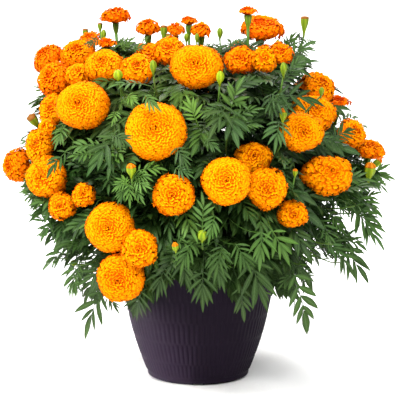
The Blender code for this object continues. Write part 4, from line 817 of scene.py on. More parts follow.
def add_petals(out, f, step, reach, rng, upright=0.0):
    """Ruffled florets over a dome, in the spiral order in which they grow. step is the
    distance between neighbours, and reach the angle from the eye to the last of them."""
    a, b, c = f["radius"], f["tall"], f["thick"]
    # small heads are more ragged, and so are a few large ones
    loose = max(min(1.0, max(0.0, (0.037 - a) / 0.017)), RAGGED.get(f["name"], 0.0))
    step *= 1.0 + 0.18 * loose
    mean = ((a * b) ** 1.6 + 2 * ((a + b) / 2 * c) ** 1.6) / 3
    area = 4 * math.pi * mean ** (1 / 1.6) * (1 - math.cos(reach)) / 2
    count = max(24, int(area / (step * step * 0.90)))
    k = np.arange(count)
    cosine = 1 - (1 - math.cos(reach)) * ((k + 0.4) / count)
    theta = np.arccos(np.clip(cosine, -1, 1)) + rng.normal(0, (0.06 + 0.10 * loose) * step / a, count)
    theta = np.clip(theta, 0.02, reach)
    phi = k * 2.399963 + rng.normal(0, 0.02 + 0.05 * loose, count)
    st, ct = np.sin(theta), np.cos(theta)
    depth = np.where(ct > 0, c, 0.8 * c)
    right, up, n = arr(f["right"]), arr(f["up"]), arr(f["n"])
    # a head is never quite round: a few broad lobes
    turn = rng.uniform(0, 2 * math.pi, 3)
    lobes = 1 + st * ((0.018 + 0.035 * loose) * np.sin(3 * phi + turn[0]) + (0.014 + 0.03 * loose) * np.sin(5 * phi + turn[1]))
    local = np.stack([a * st * np.cos(phi) * lobes, b * st * np.sin(phi) * lobes, depth * ct], 1)
    local[:, 2] += 0.04 * a * loose * np.sin(4 * phi + turn[2]) * st
    normal = unit(np.stack([local[:, 0] / a**2, local[:, 1] / b**2, local[:, 2] / depth**2], 1))
    outward = np.stack([a * ct * np.cos(phi), b * ct * np.sin(phi), -depth * st], 1)
    outward = unit(outward - normal * (outward * normal).sum(1, keepdims=True))
    side = np.cross(normal, outward)
    yaw = (rng.normal(0, 1, count) * (0.26 + 0.12 * loose + 0.5 * np.clip(1 - theta / 0.5, 0, 1)))[:, None]
    outward, side = outward * np.cos(yaw) + side * np.sin(yaw), side * np.cos(yaw) - outward * np.sin(yaw)
    size = (step * rng.uniform(0.88, 1.16, count) * (1 + 0.22 * np.clip((theta - 1.0) / 0.8, 0, 1) - 0.12 * np.clip(1 - theta / 0.5, 0, 1)))[:, None]
    rim = (theta / reach)[:, None]
    high = rng.normal(0, 0.07 + 0.10 * loose + 0.03 * f["tone"], count)[:, None]
    lean = (np.interp(theta, LEAN_AT, LEAN) - upright + rng.normal(0, 0.10, count))[:, None]

    def way(angle):
        return normal * np.cos(angle) + outward * np.sin(angle)

    tip = local * 0.965 + normal * size * (0.12 + high)
    mid = tip - way(lean + 0.50) * size * 0.46
    knee = mid - way(lean - 0.22) * size * 0.80
    spine = np.stack([knee, mid, tip], 1)                    # count, rows, 3
    widths = np.array((0.30, 0.52, 0.58))[None, :, None, None] * size[:, None, None]
    u = PETAL_COLUMNS[None, None, :, None]
    ahead = unit(tip - knee)
    face = np.cross(side, ahead)
    phase = rng.uniform(0, 2 * math.pi, (count, 1, 1, 1))
    power = np.array((0.10, 0.55, 1.0))[None, :, None, None]
    ruffle = 0.13 * size[:, None, None] * power * np.sin(u * 4.2 + phase)
    quill = (0.20 + 0.34 * np.clip(1 - theta / 0.8, 0, 1))[:, None, None, None]
    cup = -quill * size[:, None, None] * (0.35 + 0.65 * power) * (u * u - 0.3)
    lobed = size[:, None, None] * np.array((0.0, 0.04, 1.0))[None, :, None, None] * (
        -0.24 * u * u + 0.09 * np.cos(u * 6.0 + phase * 1.7)
    )
    grid = (
        spine[:, :, None, :] + side[:, None, None, :] * widths * u
        + face[:, None, None, :] * (ruffle + cup) + ahead[:, None, None, :] * lobed
    )
    world = grid[..., 0:1] * right + grid[..., 1:2] * up + grid[..., 2:3] * n + arr(f["centre"])
    s = np.broadcast_to(PETAL_ROWS[None, :, None], (count, len(PETAL_ROWS), len(PETAL_COLUMNS)))
    chance = np.broadcast_to(rng.uniform(0, 1, count)[:, None, None], s.shape)
    rim = np.broadcast_to(rim[:, :, None], s.shape)
    per = len(PETAL_ROWS) * len(PETAL_COLUMNS)
    faces = (PETAL_QUADS[None] + (np.arange(count) * per)[:, None, None]).reshape(-1, 4)
    out.add(world, np.stack([s, chance, rim], -1), f["tone"], faces)


def add_dome(out, f, scale, rows, columns):
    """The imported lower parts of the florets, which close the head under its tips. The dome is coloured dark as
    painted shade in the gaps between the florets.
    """
    turn = np.arange(columns) * 2 * math.pi / columns
    angles = np.linspace(0.12, 2.2, rows)
    c = np.where(np.cos(angles) > 0, f["thick"], 0.8 * f["thick"])
    ring = (
        arr(f["right"]) * (f["radius"] * np.sin(angles))[:, None, None] * np.cos(turn)[None, :, None]
        + arr(f["up"]) * (f["tall"] * np.sin(angles))[:, None, None] * np.sin(turn)[None, :, None]
        + arr(f["n"]) * (c * np.cos(angles))[:, None, None]
    )
    points = arr(f["centre"]) + scale * ring.reshape(-1, 3)
    ends = np.array([arr(f["centre"]) + arr(f["n"]) * scale * f["thick"], arr(f["seat"]) + arr(f["n"]) * 0.0006])
    n = rows * columns
    fan = [(n, (j + 1) % columns, j) for j in range(columns)]
    fan += [(n + 1, n - columns + j, n - columns + (j + 1) % columns) for j in range(columns)]
    # painted shade: the dome takes the dark root end of the petal colours, a little lighter on the largest heads
    shade = 0.12 + 0.17 * min(1.0, max(0.0, (f["radius"] - 0.028) / 0.012))
    out.add(np.concatenate([points, ends]), (shade, 0.5, 0.5), f["tone"], grid_quads(rows, columns, True)[:, ::-1], fan)


# ---- green parts ----------------------------------------------------------
def add_turned(out, base, n, rows, sides, ridges, tone, chance):
    """A ribbed cup or bud along n: rows of (height, radius, ridge depth, zone)."""
    right, up = frame_about(Vector(tuple(n)))
    right, up = arr(right), arr(up)
    turn = np.arange(sides) * 2 * math.pi / sides
    points, growth = [], []
    for height, radius, ridge, zone in rows:
        r = radius * (1 + ridge * np.cos(turn * ridges))
        points.append(base + arr(n) * height + right * (r * np.cos(turn))[:, None] + up * (r * np.sin(turn))[:, None])
        growth.append(np.stack([0.5 + 0.5 * np.cos(turn * ridges), np.full(sides, chance), np.full(sides, zone)], 1))
    count = len(rows) * sides
    tip = base + arr(n) * (rows[-1][0] + 0.25 * rows[-1][1])
    points = np.concatenate(points + [base[None], tip[None]])
    growth = np.concatenate(growth + [growth[0][:1], growth[-1][:1]])
    fan = [(count, (j + 1) % sides, j) for j in range(sides)]
    fan += [(count + 1, count - sides + j, count - sides + (j + 1) % sides) for j in range(sides)]
    out.add(points, growth, tone, grid_quads(len(rows), sides, True), fan)


def add_cup(out, f, tone, chance):
    """The green cup (calyx) that holds a head: a swollen stalk end, a ribbed urn and short teeth."""
    start = arr(f["stalk_end"])
    long = f["cup_length"]
    wide = f["cup_radius"]
    if f["open"] < 0.5:                         # the slim cup of a flower just opening, kept up to its petals
        start, long, wide = start + arr(f["n"]) * 0.22 * long, 0.8 * long, 0.72 * wide
    rows = [(-0.70 * long, 0.30 * wide, 0, 0.0), (-0.30 * long, 0.42 * wide, 0, 0.05), (0.02 * long, 0.56 * wide, 0.04, 0.12),
            (0.26 * long, 0.76 * wide, 0.07, 0.25), (0.50 * long, 0.94 * wide, 0.09, 0.40), (0.76 * long, 1.02 * wide, 0.10, 0.55),
            (1.10 * long, 1.10 * wide, 0.12, 0.66)]
    add_turned(out, start, f["n"], rows, 18, 6, tone, chance)


BUD_FORMS = {
    0: ((-0.30, 0.20, 0, 0.0), (0.0, 0.34, 0, 0.0), (0.16, 0.60, .06, .1), (0.36, 0.88, .09, .25), (0.58, 1.0, .10, .45),
        (0.78, 0.86, .10, .6), (0.92, 0.56, .12, .68), (1.0, 0.24, .06, .72)),
    1: ((-0.30, 0.20, 0, 0.0), (0.0, 0.36, 0, 0.0), (0.16, 0.66, .06, .1), (0.36, 0.92, .09, .25), (0.56, 1.0, .09, .45),
        (0.70, 0.94, .06, .70), (0.74, 0.96, .16, .86), (0.87, 0.74, .20, .93), (0.99, 0.36, .22, 1.0)),
    2: ((-0.45, 0.20, 0, 0.0), (-0.15, 0.30, 0, 0.0), (0.10, 0.48, .05, .1), (0.34, 0.74, .08, .25), (0.58, 0.96, .09, .45),
        (0.78, 1.0, .09, .62), (0.86, 0.98, .12, .76), (0.96, 0.94, .14, .78), (1.0, 0.60, .10, .80)),
    3: ((-0.30, 0.20, 0, 0.0), (0.0, 0.36, 0, 0.0), (0.16, 0.70, .05, .1), (0.36, 0.96, .07, .25), (0.60, 1.0, .07, .45),
        (0.80, 0.84, .08, .6), (0.94, 0.52, .08, .66), (1.0, 0.24, .06, .7)),
}


def add_bud(out, b, chance):
    w, h = b["width"] / 2, b["length"]
    rows = [(t * h, r * w, ridge, zone) for t, r, ridge, zone in BUD_FORMS[b["kind"]]]
    tone = (0.50, 0.80, 0.45)[b["kind"]] if b["kind"] < 3 else 0.60 if b["centre"].z < 0.3 else 1.0
    add_turned(out, arr(b["stalk_end"]), b["n"], rows, 20, 5, tone, chance)


# ---- leaves ---------------------------------------------------------------
FINE_STATIONS = np.array((0.0, 0.10, 0.22, 0.36, 0.50, 0.64, 0.82, 1.0))
FINE_WIDTHS = np.array((0.10, 0.48, 0.82, 0.96, 1.02, 0.84, 0.52, 0.0))
PLAIN_STATIONS = np.array((0.0, 0.16, 0.40, 0.66, 1.0))
PLAIN_WIDTHS = np.array((0.10, 0.66, 1.0, 0.78, 0.0))


def leaflet_faces(stations):
    quads, triangles = [], []
    for i in range(stations - 2):
        a, b = 3 * i, 3 * i + 3
        quads += [(a, a + 1, b + 1, b), (a + 1, a + 2, b + 2, b + 1)]
    a = 3 * (stations - 2)
    triangles += [(a, a + 1, a + 3), (a + 1, a + 2, a + 3)]
    return np.array(quads), np.array(triangles)


LEAFLET_FACES = {n: leaflet_faces(n) for n in (len(FINE_STATIONS), len(PLAIN_STATIONS))}


def sagging(a, b):
    """Points from a up to b, without b: a short stalk runs straight, and one over 35 mm sags under its leaf."""
    a, b = np.asarray(a, float), np.asarray(b, float)
    long = float(np.linalg.norm(b - a))
    steps = 1 if long < 0.035 else int(math.ceil(long / 0.014))
    q = (np.arange(steps) / steps)[:, None]
    return a + (b - a) * q - np.array((0.0, 0.0, 0.36 * long)) * q * (1 - q)


def add_leaf(out, leaf, root, rng, fine):
    """A feathered leaf: a channelled stalk and midrib, toothed leaflets in pairs and one at the end."""
    _, bend, base, middle, tip = (arr(p) for p in leaf_points({**leaf, "root": root}))
    away = arr(leaf["out"]) + np.array((0.0, -leaf["turned"], 0.2 * leaf["turned"]))
    long = leaf["length"]
    knee = 2 * middle - (base + tip) / 2
    hand_like, spaced = leaf["marked"] and not leaf["spaced"], leaf["spaced"]
    broad = hand_like and not leaf["outside"] and base[2] > 0.26 and long > 0.055
    pairs = 3 if spaced == 2 or broad else 4 if spaced or hand_like or not fine else (5 if long > 0.062 else 4)
    hanging = hand_like and leaf["outside"]
    last = (0.62, 0.48)[spaced - 1] if spaced else 0.56 if hanging else 0.44 if hand_like else 0.58

    def rib(q):
        q = np.asarray(q, float)[:, None]
        return base * (1 - q) ** 2 + knee * 2 * q * (1 - q) + tip * q * q

    q = np.repeat(last * (np.arange(pairs) + 0.12) / (pairs - 0.15), 2) + rng.uniform(-0.02, 0.02, 2 * pairs)
    q = np.append(np.clip(q, 0.0, last), last)
    at = rib(q)
    along = unit(rib(q + 0.03) - rib(q - 0.03))
    normal = unit(away - along * (along @ away)[:, None])
    side = np.cross(along, normal)
    hand = np.append(np.tile((1.0, -1.0), pairs), 0.0)
    place = np.append(np.repeat(np.linspace(0, 1, pairs), 2), 1.0)
    angle = np.radians((rng.uniform(60, 72) - 44 * place if hand_like else rng.uniform(52, 64) - 30 * place) + rng.normal(0, 6, len(q)))
    angle[-1] = rng.normal(0, 0.12)
    hand[-1] = 1.0
    shape = np.interp(place, (0, 0.25, 0.55, 0.85, 1.0), (0.66, 0.88, 1.0, 0.95, 0.86))
    reach = long * ((0.36, 0.48)[spaced - 1] if spaced else 0.46 if hanging else 0.56 if hand_like else rng.uniform(0.39, 0.47)) * shape * rng.uniform(0.88, 1.12, len(q))
    reach[-1] = long * (1.03 - last) * rng.uniform(0.95, 1.05)
    first = unit(along * np.cos(angle)[:, None] + side * (hand * np.sin(angle))[:, None] + normal * 0.14)
    droop = rng.uniform(0.20, 0.62) + rng.normal(0, 0.06, len(q))
    second = unit(first + np.array((0.0, 0.0, -1.0)) * droop[:, None] - normal * 0.12)
    stations, widths = (FINE_STATIONS, FINE_WIDTHS) if fine else (PLAIN_STATIONS, PLAIN_WIDTHS)
    t = stations[None, :, None]
    p0, p1 = at[:, None], (at + first * reach[:, None] * 0.5)[:, None]
    p2 = (at + (first + second) * reach[:, None] * 0.5)[:, None]
    spine = p0 * (1 - t) ** 2 + p1 * 2 * t * (1 - t) + p2 * t * t
    way = unit((p1 - p0) * (1 - t) + (p2 - p1) * t)
    twist = rng.normal(0, 0.20, len(q))[:, None, None]
    flat = unit(normal[:, None] + side[:, None] * twist)
    across = unit(np.cross(way, flat))
    up = np.cross(across, way)
    half = (reach * rng.uniform(0.100, 0.132) * ((1.10, 0.80)[spaced - 1] if spaced else 1.0 if broad else 0.72 if hanging else 0.70 if hand_like and base[2] < 0.26 else 0.80 if hand_like else 1.0 if fine or leaf["outside"] else 1.4) * rng.uniform(0.93, 1.07, len(q)))[:, None, None] * widths[None, :, None]
    fold = rng.uniform(0.10, 0.34)
    left = spine - across * half + up * half * fold
    right = spine + across * half + up * half * fold
    m, s = len(q), len(stations)
    points = np.stack([left, spine, right], 2)[:, : s - 1].reshape(m, -1, 3)
    points = np.concatenate([points, spine[:, -1:]], 1)
    per = points.shape[1]
    chance = leaf["light"]
    g_across = np.append(np.tile((1.0, 0.0, 1.0), s - 1), 0.5)
    g_along = np.append(np.repeat(stations[:-1], 3), 1.0)
    growth = np.stack([
        np.broadcast_to(g_across, (m, per)), np.full((m, per), chance) + rng.uniform(-0.18, 0.18, (m, 1)),
        np.broadcast_to(g_along, (m, per)),
    ], -1)
    quads, triangles = LEAFLET_FACES[s]
    shift = (np.arange(m) * per)[:, None, None]
    out.add(points, growth, leaf["tone"], (quads[None] + shift).reshape(-1, 4), (triangles[None] + shift).reshape(-1, 3))
    lower, upper = sagging(arr(root), bend), sagging(bend, base)
    stalk = np.concatenate([lower, upper, rib((0.0, 0.22, 0.44, last + 0.02))])
    thick = (0.0006 + 0.003 * long) * np.concatenate([
        np.linspace(1.25, 1.0, len(lower), endpoint=False), np.linspace(1.0, 0.95, len(upper), endpoint=False), (0.95, 0.8, 0.62, 0.42),
    ])
    add_tube(out, stalk, thick, 4 if fine else 3, 0.7 * chance, leaf["tone"], cap=False, across=0.3)


# ---- pot ------------------------------------------------------------------
RIBS = 86
BANDS = (0.0115, 0.0348, 0.0695, 0.1042, 0.1389, 0.1736)
RIB_HEIGHT = 0.0013
AROUND = RIBS * 6


def rib_relief(z, turn):
    """How far the wall stands out: narrow upright ribs in bands, each band half a rib round from the next."""
    for k in range(len(BANDS) - 1):
        low, high = BANDS[k], BANDS[k + 1]
        if low <= z <= high:
            t = (z - low) / (high - low)
            ends = min(t, 1 - t) / 0.16
            soft = 1.0 if ends >= 1 else math.sin(ends * math.pi / 2)
            u = turn * RIBS / (2 * math.pi) + 0.5 * (k % 2)
            u = u - np.floor(u) - 0.5
            return RIB_HEIGHT * soft * (np.cos(math.pi * u) ** 0.8 - 0.55)
    return np.zeros_like(turn)


def make_pot(mat):
    turn = (np.arange(AROUND) + 0.5) * 2 * math.pi / AROUND
    rows = []                                   # (radius, height) arrays round the pot

    def row(radius, height):
        rows.append((np.broadcast_to(radius, turn.shape), np.broadcast_to(height, turn.shape)))

    notch = np.zeros_like(turn)
    for i in range(FOOT_NOTCHES):
        a = 2 * math.pi * i / FOOT_NOTCHES - math.pi / 2
        off = (turn - a + math.pi) % (2 * math.pi) - math.pi
        notch = np.maximum(notch, (np.abs(off) < NOTCH_WIDTH / 2 / FOOT_RADIUS) * 0.0018)
    floor_low, floor_high = FOOT_HEIGHT, FOOT_HEIGHT + 0.0032
    for r in (0.004, 0.018, 0.030, 0.0315, 0.033, 0.046, 0.060):
        row(r, floor_low + (0.0005 if 0.031 < r < 0.032 else 0.0))
    row(FOOT_RADIUS - 0.0062, floor_low)
    row(FOOT_RADIUS - 0.0052, np.maximum(0.0008, notch + 0.0002))
    row(FOOT_RADIUS - 0.0046, notch)
    row(FOOT_RADIUS - 0.0007, notch)
    row(FOOT_RADIUS, np.maximum(0.0006, notch + 0.0001))
    row(FOOT_RADIUS + 0.0006, np.maximum(0.0018, notch + 0.0003))
    row(FOOT_RADIUS + 0.0008, 0.0026)
    row(FOOT_RADIUS + 0.0020, 0.0029)
    row(0.0790, 0.0030)
    row(0.0806, 0.0035)
    row(0.0816, 0.0047)
    row(0.0820, 0.0063)
    row(0.0820, 0.0084)
    levels = []
    row(0.0823, 0.0104)
    for low, high in zip(BANDS, BANDS[1:]):
        levels += [low + (high - low) * t for t in (0.0, 0.05, 0.10, 0.16, 0.38, 0.62, 0.84, 0.90, 0.95)]
    levels += [0.1737, 0.1775, 0.1815]
    for z in levels:
        row(curve_value(POT_OUTSIDE, z) + rib_relief(z, turn), z)
    rim = POT_RIM_RADIUS + POT_LIP
    for r, z in ((rim - 0.0022, 0.1832), (rim - 0.0008, 0.1838), (rim, 0.1850), (rim + 0.0002, 0.1872), (rim - 0.0004, 0.1889),
                 (rim - 0.0018, 0.1899), (rim - 0.0034, 0.1899), (rim - 0.0046, 0.1890), (rim - 0.0050, 0.1872)):
        row(r, z)
    for z in (0.1815, 0.1760, 0.1650, 0.125, 0.0709, 0.0364, 0.018, 0.0095):
        row(curve_value(POT_OUTSIDE, z) - POT_WALL, z)
    row(0.0765, floor_high + 0.0022)
    row(0.0725, floor_high)
    for r in (0.060, 0.046, 0.030, 0.004):
        row(r, floor_high)
    points = np.concatenate([np.stack([r * np.cos(turn), r * np.sin(turn), z], 1) for r, z in rows])
    count = len(points)
    points = np.concatenate([points, [(0, 0, floor_low), (0, 0, floor_high)]])
    last = count - AROUND
    fan = [(count, (j + 1) % AROUND, j) for j in range(AROUND)]
    fan += [(count + 1, last + j, last + (j + 1) % AROUND) for j in range(AROUND)]
    out = Surface()
    out.add(points, (0.0, 0.5, 0.5), 0.0, grid_quads(len(rows), AROUND, True), fan)
    pot = out.build("ribbed_pot", mat, sharp=50)
    cutters = []
    for i in range(FOOT_NOTCHES):
        b = 2 * math.pi * i / FOOT_NOTCHES - math.pi / 2 + math.pi / FOOT_NOTCHES
        drill = Surface()
        x, y = math.cos(b) * DRAIN_CIRCLE, math.sin(b) * DRAIN_CIRCLE
        add_tube(drill, [(x, y, 0.001), (x, y, 0.010)], DRAIN_RADIUS, 32, 0.5, 0.0)
        cutters.append(drill.build("drill_%d" % i, mat))
    for i, drill in enumerate(cutters):
        cut = pot.modifiers.new("drain_%d" % i, "BOOLEAN")
        cut.operation, cut.solver, cut.object = "DIFFERENCE", "MANIFOLD", drill
    bpy.context.view_layer.update()
    graph = bpy.context.evaluated_depsgraph_get()
    mesh = bpy.data.meshes.new_from_object(pot.evaluated_get(graph), depsgraph=graph)
    pot.modifiers.clear()
    old, pot.data = pot.data, mesh
    bpy.data.meshes.remove(old)
    for drill in cutters:
        bpy.data.objects.remove(drill, do_unlink=True)
    mesh.name = "ribbed_pot"
    return pot


def make_soil(mat, rng):
    """Lumpy potting mix with bark and white perlite crumbs, filling the pot to below its rim."""
    out = Surface()
    columns, rows = 112, 30
    turn = (np.arange(columns) + 0.5) * 2 * math.pi / columns
    edge = curve_value(POT_OUTSIDE, SOIL_TOP) - POT_WALL - 0.0006
    radii = np.linspace(0.004, edge, rows)
    waves = [(rng.uniform(20, 260), rng.uniform(0, 2 * math.pi), rng.uniform(0, 2 * math.pi), 1) for _ in range(26)]
    points = []
    for r in radii:
        x, y = r * np.cos(turn), r * np.sin(turn)
        z = np.zeros_like(x)
        for f, way, phase, _ in waves:
            z += math.sqrt(30 / f) * np.sin(f * (x * math.cos(way) + y * math.sin(way)) + phase)
        z = SOIL_TOP - 0.0016 + 0.00075 * z + rng.normal(0, 0.00045, columns)
        points.append(np.stack([x, y, np.minimum(z, SOIL_TOP + 0.0028)], 1))
    for z in (0.150, 0.125, 0.0709, 0.0364, 0.018, 0.0100):
        r = curve_value(POT_OUTSIDE, z) - POT_WALL - 0.0006
        points.append(np.stack([r * np.cos(turn), r * np.sin(turn), np.full(columns, z)], 1))
    low = FOOT_HEIGHT + 0.0032 + 0.0004
    for r in (0.0715, 0.03):
        points.append(np.stack([r * np.cos(turn), r * np.sin(turn), np.full(columns, low)], 1))
    n = len(points) * columns
    points = np.concatenate(points + [[(0, 0, SOIL_TOP - 0.001), (0, 0, low)]])
    fan = [(n, j, (j + 1) % columns) for j in range(columns)]
    fan += [(n + 1, n - columns + (j + 1) % columns, n - columns + j) for j in range(columns)]
    out.add(points, (0.0, 0.3, 0.5), 0.0, grid_quads(n // columns, columns, True)[:, ::-1], fan)
    crumb = np.array([(1, 0, 0), (-1, 0, 0), (0, 1, 0), (0, -1, 0), (0, 0, 1), (0, 0, -1)], float)
    sides = np.array([(0, 2, 4), (2, 1, 4), (1, 3, 4), (3, 0, 4), (2, 0, 5), (1, 2, 5), (3, 1, 5), (0, 3, 5)])
    for i in range(420):
        r, a = edge * 0.97 * math.sqrt(rng.uniform(0, 1)), rng.uniform(0, 2 * math.pi)
        white = rng.uniform(0, 1) < 0.22
        size = rng.uniform(0.0008, 0.0019) if white else rng.uniform(0.001, 0.0034)
        shape = crumb * rng.uniform(0.5, 1.1, 3) * size * rng.uniform(0.8, 1.2, (6, 1))
        q = rng.normal(0, 1, (3, 3))
        q, _ = np.linalg.qr(q)
        place = np.array((r * math.cos(a), r * math.sin(a), SOIL_TOP - 0.0002 + rng.uniform(-0.0006, 0.0010)))
        out.add(shape @ q.T * (1 if np.linalg.det(q) > 0 else -1) + place, (1.0 if white else 0.0, rng.uniform(0, 1), 0.5), 1.0 if white else 0.0, None, sides)
    return out.build("potting_mix", mat, sharp=40)


# --------------------------------------------------------------------------
# Materials
# --------------------------------------------------------------------------
class Nodes:
    """Short ways to build a node tree round the Principled shader."""

    def __init__(self, name, roughness, specular=0.5):
        self.material = bpy.data.materials.new(name)
        self.material.use_nodes = True
        self.tree = self.material.node_tree
        self.shader = self.tree.nodes["Principled BSDF"]
        self.shader.inputs["Roughness"].default_value = roughness
        self.shader.inputs["Specular IOR Level"].default_value = specular

    def node(self, kind, **settings):
        made = self.tree.nodes.new(kind)
        for key, value in settings.items():
            setattr(made, key, value)
        return made

    def link(self, a, b):
        self.tree.links.new(a, b)

    def put(self, socket, value):
        if hasattr(value, "is_output"):
            self.link(value, socket)
        else:
            socket.default_value = value

    def attribute(self, name):
        return self.node("ShaderNodeAttribute", attribute_type="GEOMETRY", attribute_name=name)

    def growth(self):
        parts = self.node("ShaderNodeSeparateXYZ")
        self.link(self.attribute("growth").outputs["Vector"], parts.inputs[0])
        return parts.outputs[0], parts.outputs[1], parts.outputs[2]

    def math(self, operation, a, b=0.0, c=0.0, clamp=False):
        made = self.node("ShaderNodeMath", operation=operation, use_clamp=clamp)
        for socket, value in zip(made.inputs, (a, b, c)):
            self.put(socket, value)
        return made.outputs[0]

    def ramp(self, value, stops, smooth=False):
        made = self.node("ShaderNodeValToRGB")
        bar = made.color_ramp
        bar.interpolation = "EASE" if smooth else "LINEAR"
        while len(bar.elements) < len(stops):
            bar.elements.new(0.5)
        for element, (at, colour) in zip(bar.elements, stops):
            element.position = at
            element.color = (*colour, 1.0)
        self.put(made.inputs[0], value)
        return made.outputs[0]

    def mix(self, amount, a, b, blend="MIX"):
        made = self.node("ShaderNodeMix", data_type="RGBA", blend_type=blend)
        self.put(made.inputs["Factor"], amount)
        for socket, value in ((made.inputs[6], a), (made.inputs[7], b)):
            self.put(socket, (*value, 1.0) if isinstance(value, tuple) else value)
        return made.outputs[2]

    def coordinates(self):
        return self.node("ShaderNodeTexCoord").outputs["Object"]

    def noise(self, scale, detail=2.0, stretch=None, roughness=0.5):
        made = self.node("ShaderNodeTexNoise")
        place = self.coordinates()
        if stretch:
            mapping = self.node("ShaderNodeMapping")
            mapping.inputs["Scale"].default_value = stretch
            self.link(place, mapping.inputs["Vector"])
            place = mapping.outputs[0]
        self.link(place, made.inputs["Vector"])
        made.inputs["Scale"].default_value = scale
        made.inputs["Detail"].default_value = detail
        made.inputs["Roughness"].default_value = roughness
        return made.outputs["Fac"]

    def bump(self, height, strength, distance):
        made = self.node("ShaderNodeBump")
        made.inputs["Strength"].default_value = strength
        made.inputs["Distance"].default_value = distance
        self.put(made.inputs["Height"], height)
        self.link(made.outputs[0], self.shader.inputs["Normal"])

    def finish(self, colour, roughness=None):
        self.put(self.shader.inputs["Base Color"], colour)
        if roughness is not None:
            self.put(self.shader.inputs["Roughness"], roughness)
        return self.material


def scaled(n, value, low, high):
    """A 0 to 1 value spread over low to high."""
    return n.math("MULTIPLY_ADD", value, high - low, low)


def petal_material():
    n = Nodes("marigold_petals", 0.75, 0.02)
    s, chance, rim = n.growth()
    tone = n.attribute("tone").outputs["Fac"]
    # each floret runs from a deep red-orange at its root to its tip colour: partly the florets' own redder base, partly
    # painted shade, with the root end made dark so the crevices between florets read dark
    gold = n.ramp(s, ((0.0, (0.32, 0.043, 0.0)), (0.30, (0.64, 0.130, 0.0)), (0.75, (0.76, 0.205, 0.0)), (0.90, (0.86, 0.326, 0.0)), (1.0, (0.91, 0.425, 0.0))))
    deep = n.ramp(s, ((0.0, (0.26, 0.016, 0.0)), (0.30, (0.50, 0.043, 0.0)), (0.75, (0.75, 0.110, 0.0)), (0.90, (0.86, 0.175, 0.0)), (1.0, (0.91, 0.230, 0.0))))
    edge = n.math("MULTIPLY", n.math("POWER", rim, 2.2), 0.22)
    amount = n.math("ADD", n.math("MULTIPLY_ADD", tone, 1.15, edge), scaled(n, chance, -0.14, 0.14), clamp=True)
    colour = n.mix(amount, gold, deep)
    streaks = n.noise(420, 2.0)
    colour = n.mix(n.math("MULTIPLY", n.ramp(streaks, ((0.42, (0, 0, 0)), (0.72, (1, 1, 1)))), 0.22), colour, (0.80, 0.16, 0.0))
    n.bump(streaks, 0.35, 0.0006)
    return n.finish(colour, scaled(n, streaks, 0.50, 0.74))


def leaf_material():
    n = Nodes("marigold_leaves", 0.50, 0.12)
    across, chance, along = n.growth()
    tone = n.attribute("tone").outputs["Fac"]
    # a leaf's lightness (growth y) mixes a random tone with painted shade: the near-black low end of these ramps is
    # painted shade, given to leaves deep inside the bush and low over the pot
    old = n.ramp(chance, ((0.0, (0.0028, 0.0130, 0.0010)), (0.3, (0.007, 0.030, 0.003)), (0.65, (0.018, 0.058, 0.012)), (1.0, (0.040, 0.095, 0.044))))
    young = n.ramp(chance, ((0.0, (0.042, 0.122, 0.007)), (1.0, (0.125, 0.250, 0.020))))
    colour = n.mix(tone, old, young)
    low = n.node("ShaderNodeSeparateXYZ")
    n.link(n.coordinates(), low.inputs[0])
    # lower leaves are mixed towards a dark olive: partly the older leaves' brownish tint, partly painted shade under
    # the bush
    low_olive_and_shade = n.ramp(low.outputs["Z"], ((0.14, (1, 1, 1)), (0.27, (0, 0, 0))))
    colour = n.mix(n.math("MULTIPLY", low_olive_and_shade, 0.42), colour, (0.030, 0.041, 0.011))
    # yellower leaves towards the top on the left, and leaves towards the top on the right painted darker, as painted
    # shade on the side away from the key lamp
    upper = n.ramp(low.outputs["Z"], ((0.35, (0, 0, 0)), (0.43, (1, 1, 1))))
    right = n.ramp(low.outputs["X"], ((0.010, (0, 0, 0)), (0.060, (1, 1, 1))))
    left = n.math("SUBTRACT", 1.0, right, clamp=True)
    colour = n.mix(n.math("MULTIPLY", n.math("MULTIPLY", upper, left), 0.17), colour, (0.100, 0.130, 0.001))
    colour = n.mix(n.math("MULTIPLY", n.math("MULTIPLY", upper, right), 0.42), colour, (0.002, 0.004, 0.0))
    patches = n.noise(38, 3.0)
    colour = n.mix(n.math("MULTIPLY", n.ramp(patches, ((0.38, (0, 0, 0)), (0.66, (1, 1, 1)))), 0.35), colour, n.mix(0.55, colour, (0.075, 0.135, 0.020)))
    # painted shade: leaflets darken towards their toothed edges and where they join the midrib
    shade = n.math("ADD", n.math("MULTIPLY", n.math("POWER", across, 2.5), 0.42), n.math("MULTIPLY", n.math("POWER", n.math("SUBTRACT", 1.0, along), 3.0), 0.30), clamp=True)
    colour = n.mix(shade, n.mix(0.14, colour, n.mix(0.5, colour, (0.10, 0.22, 0.07))), (0.004, 0.016, 0.002))
    rib = n.math("SUBTRACT", 1.0, n.math("MULTIPLY", across, 7.0), clamp=True)
    slant = n.math("SUBTRACT", n.math("MULTIPLY", along, 62.0), n.math("MULTIPLY", across, 7.0))
    veins = n.math("POWER", n.math("MULTIPLY_ADD", n.math("SINE", slant), 0.5, 0.5), 5.0)
    veins = n.math("MULTIPLY", veins, n.math("SUBTRACT", 1.0, n.math("MULTIPLY", across, 0.9), clamp=True))
    light = n.math("MAXIMUM", n.math("MULTIPLY", rib, 0.46), n.math("MULTIPLY", veins, 0.20))
    colour = n.mix(light, colour, n.mix(0.5, colour, (0.20, 0.34, 0.13)))
    height = n.math("ADD", n.math("MULTIPLY", rib, -0.8), n.math("ADD", n.math("MULTIPLY", veins, -0.5), n.noise(700, 2.0)))
    n.bump(height, 0.35, 0.0006)
    return n.finish(colour, scaled(n, patches, 0.34, 0.52))


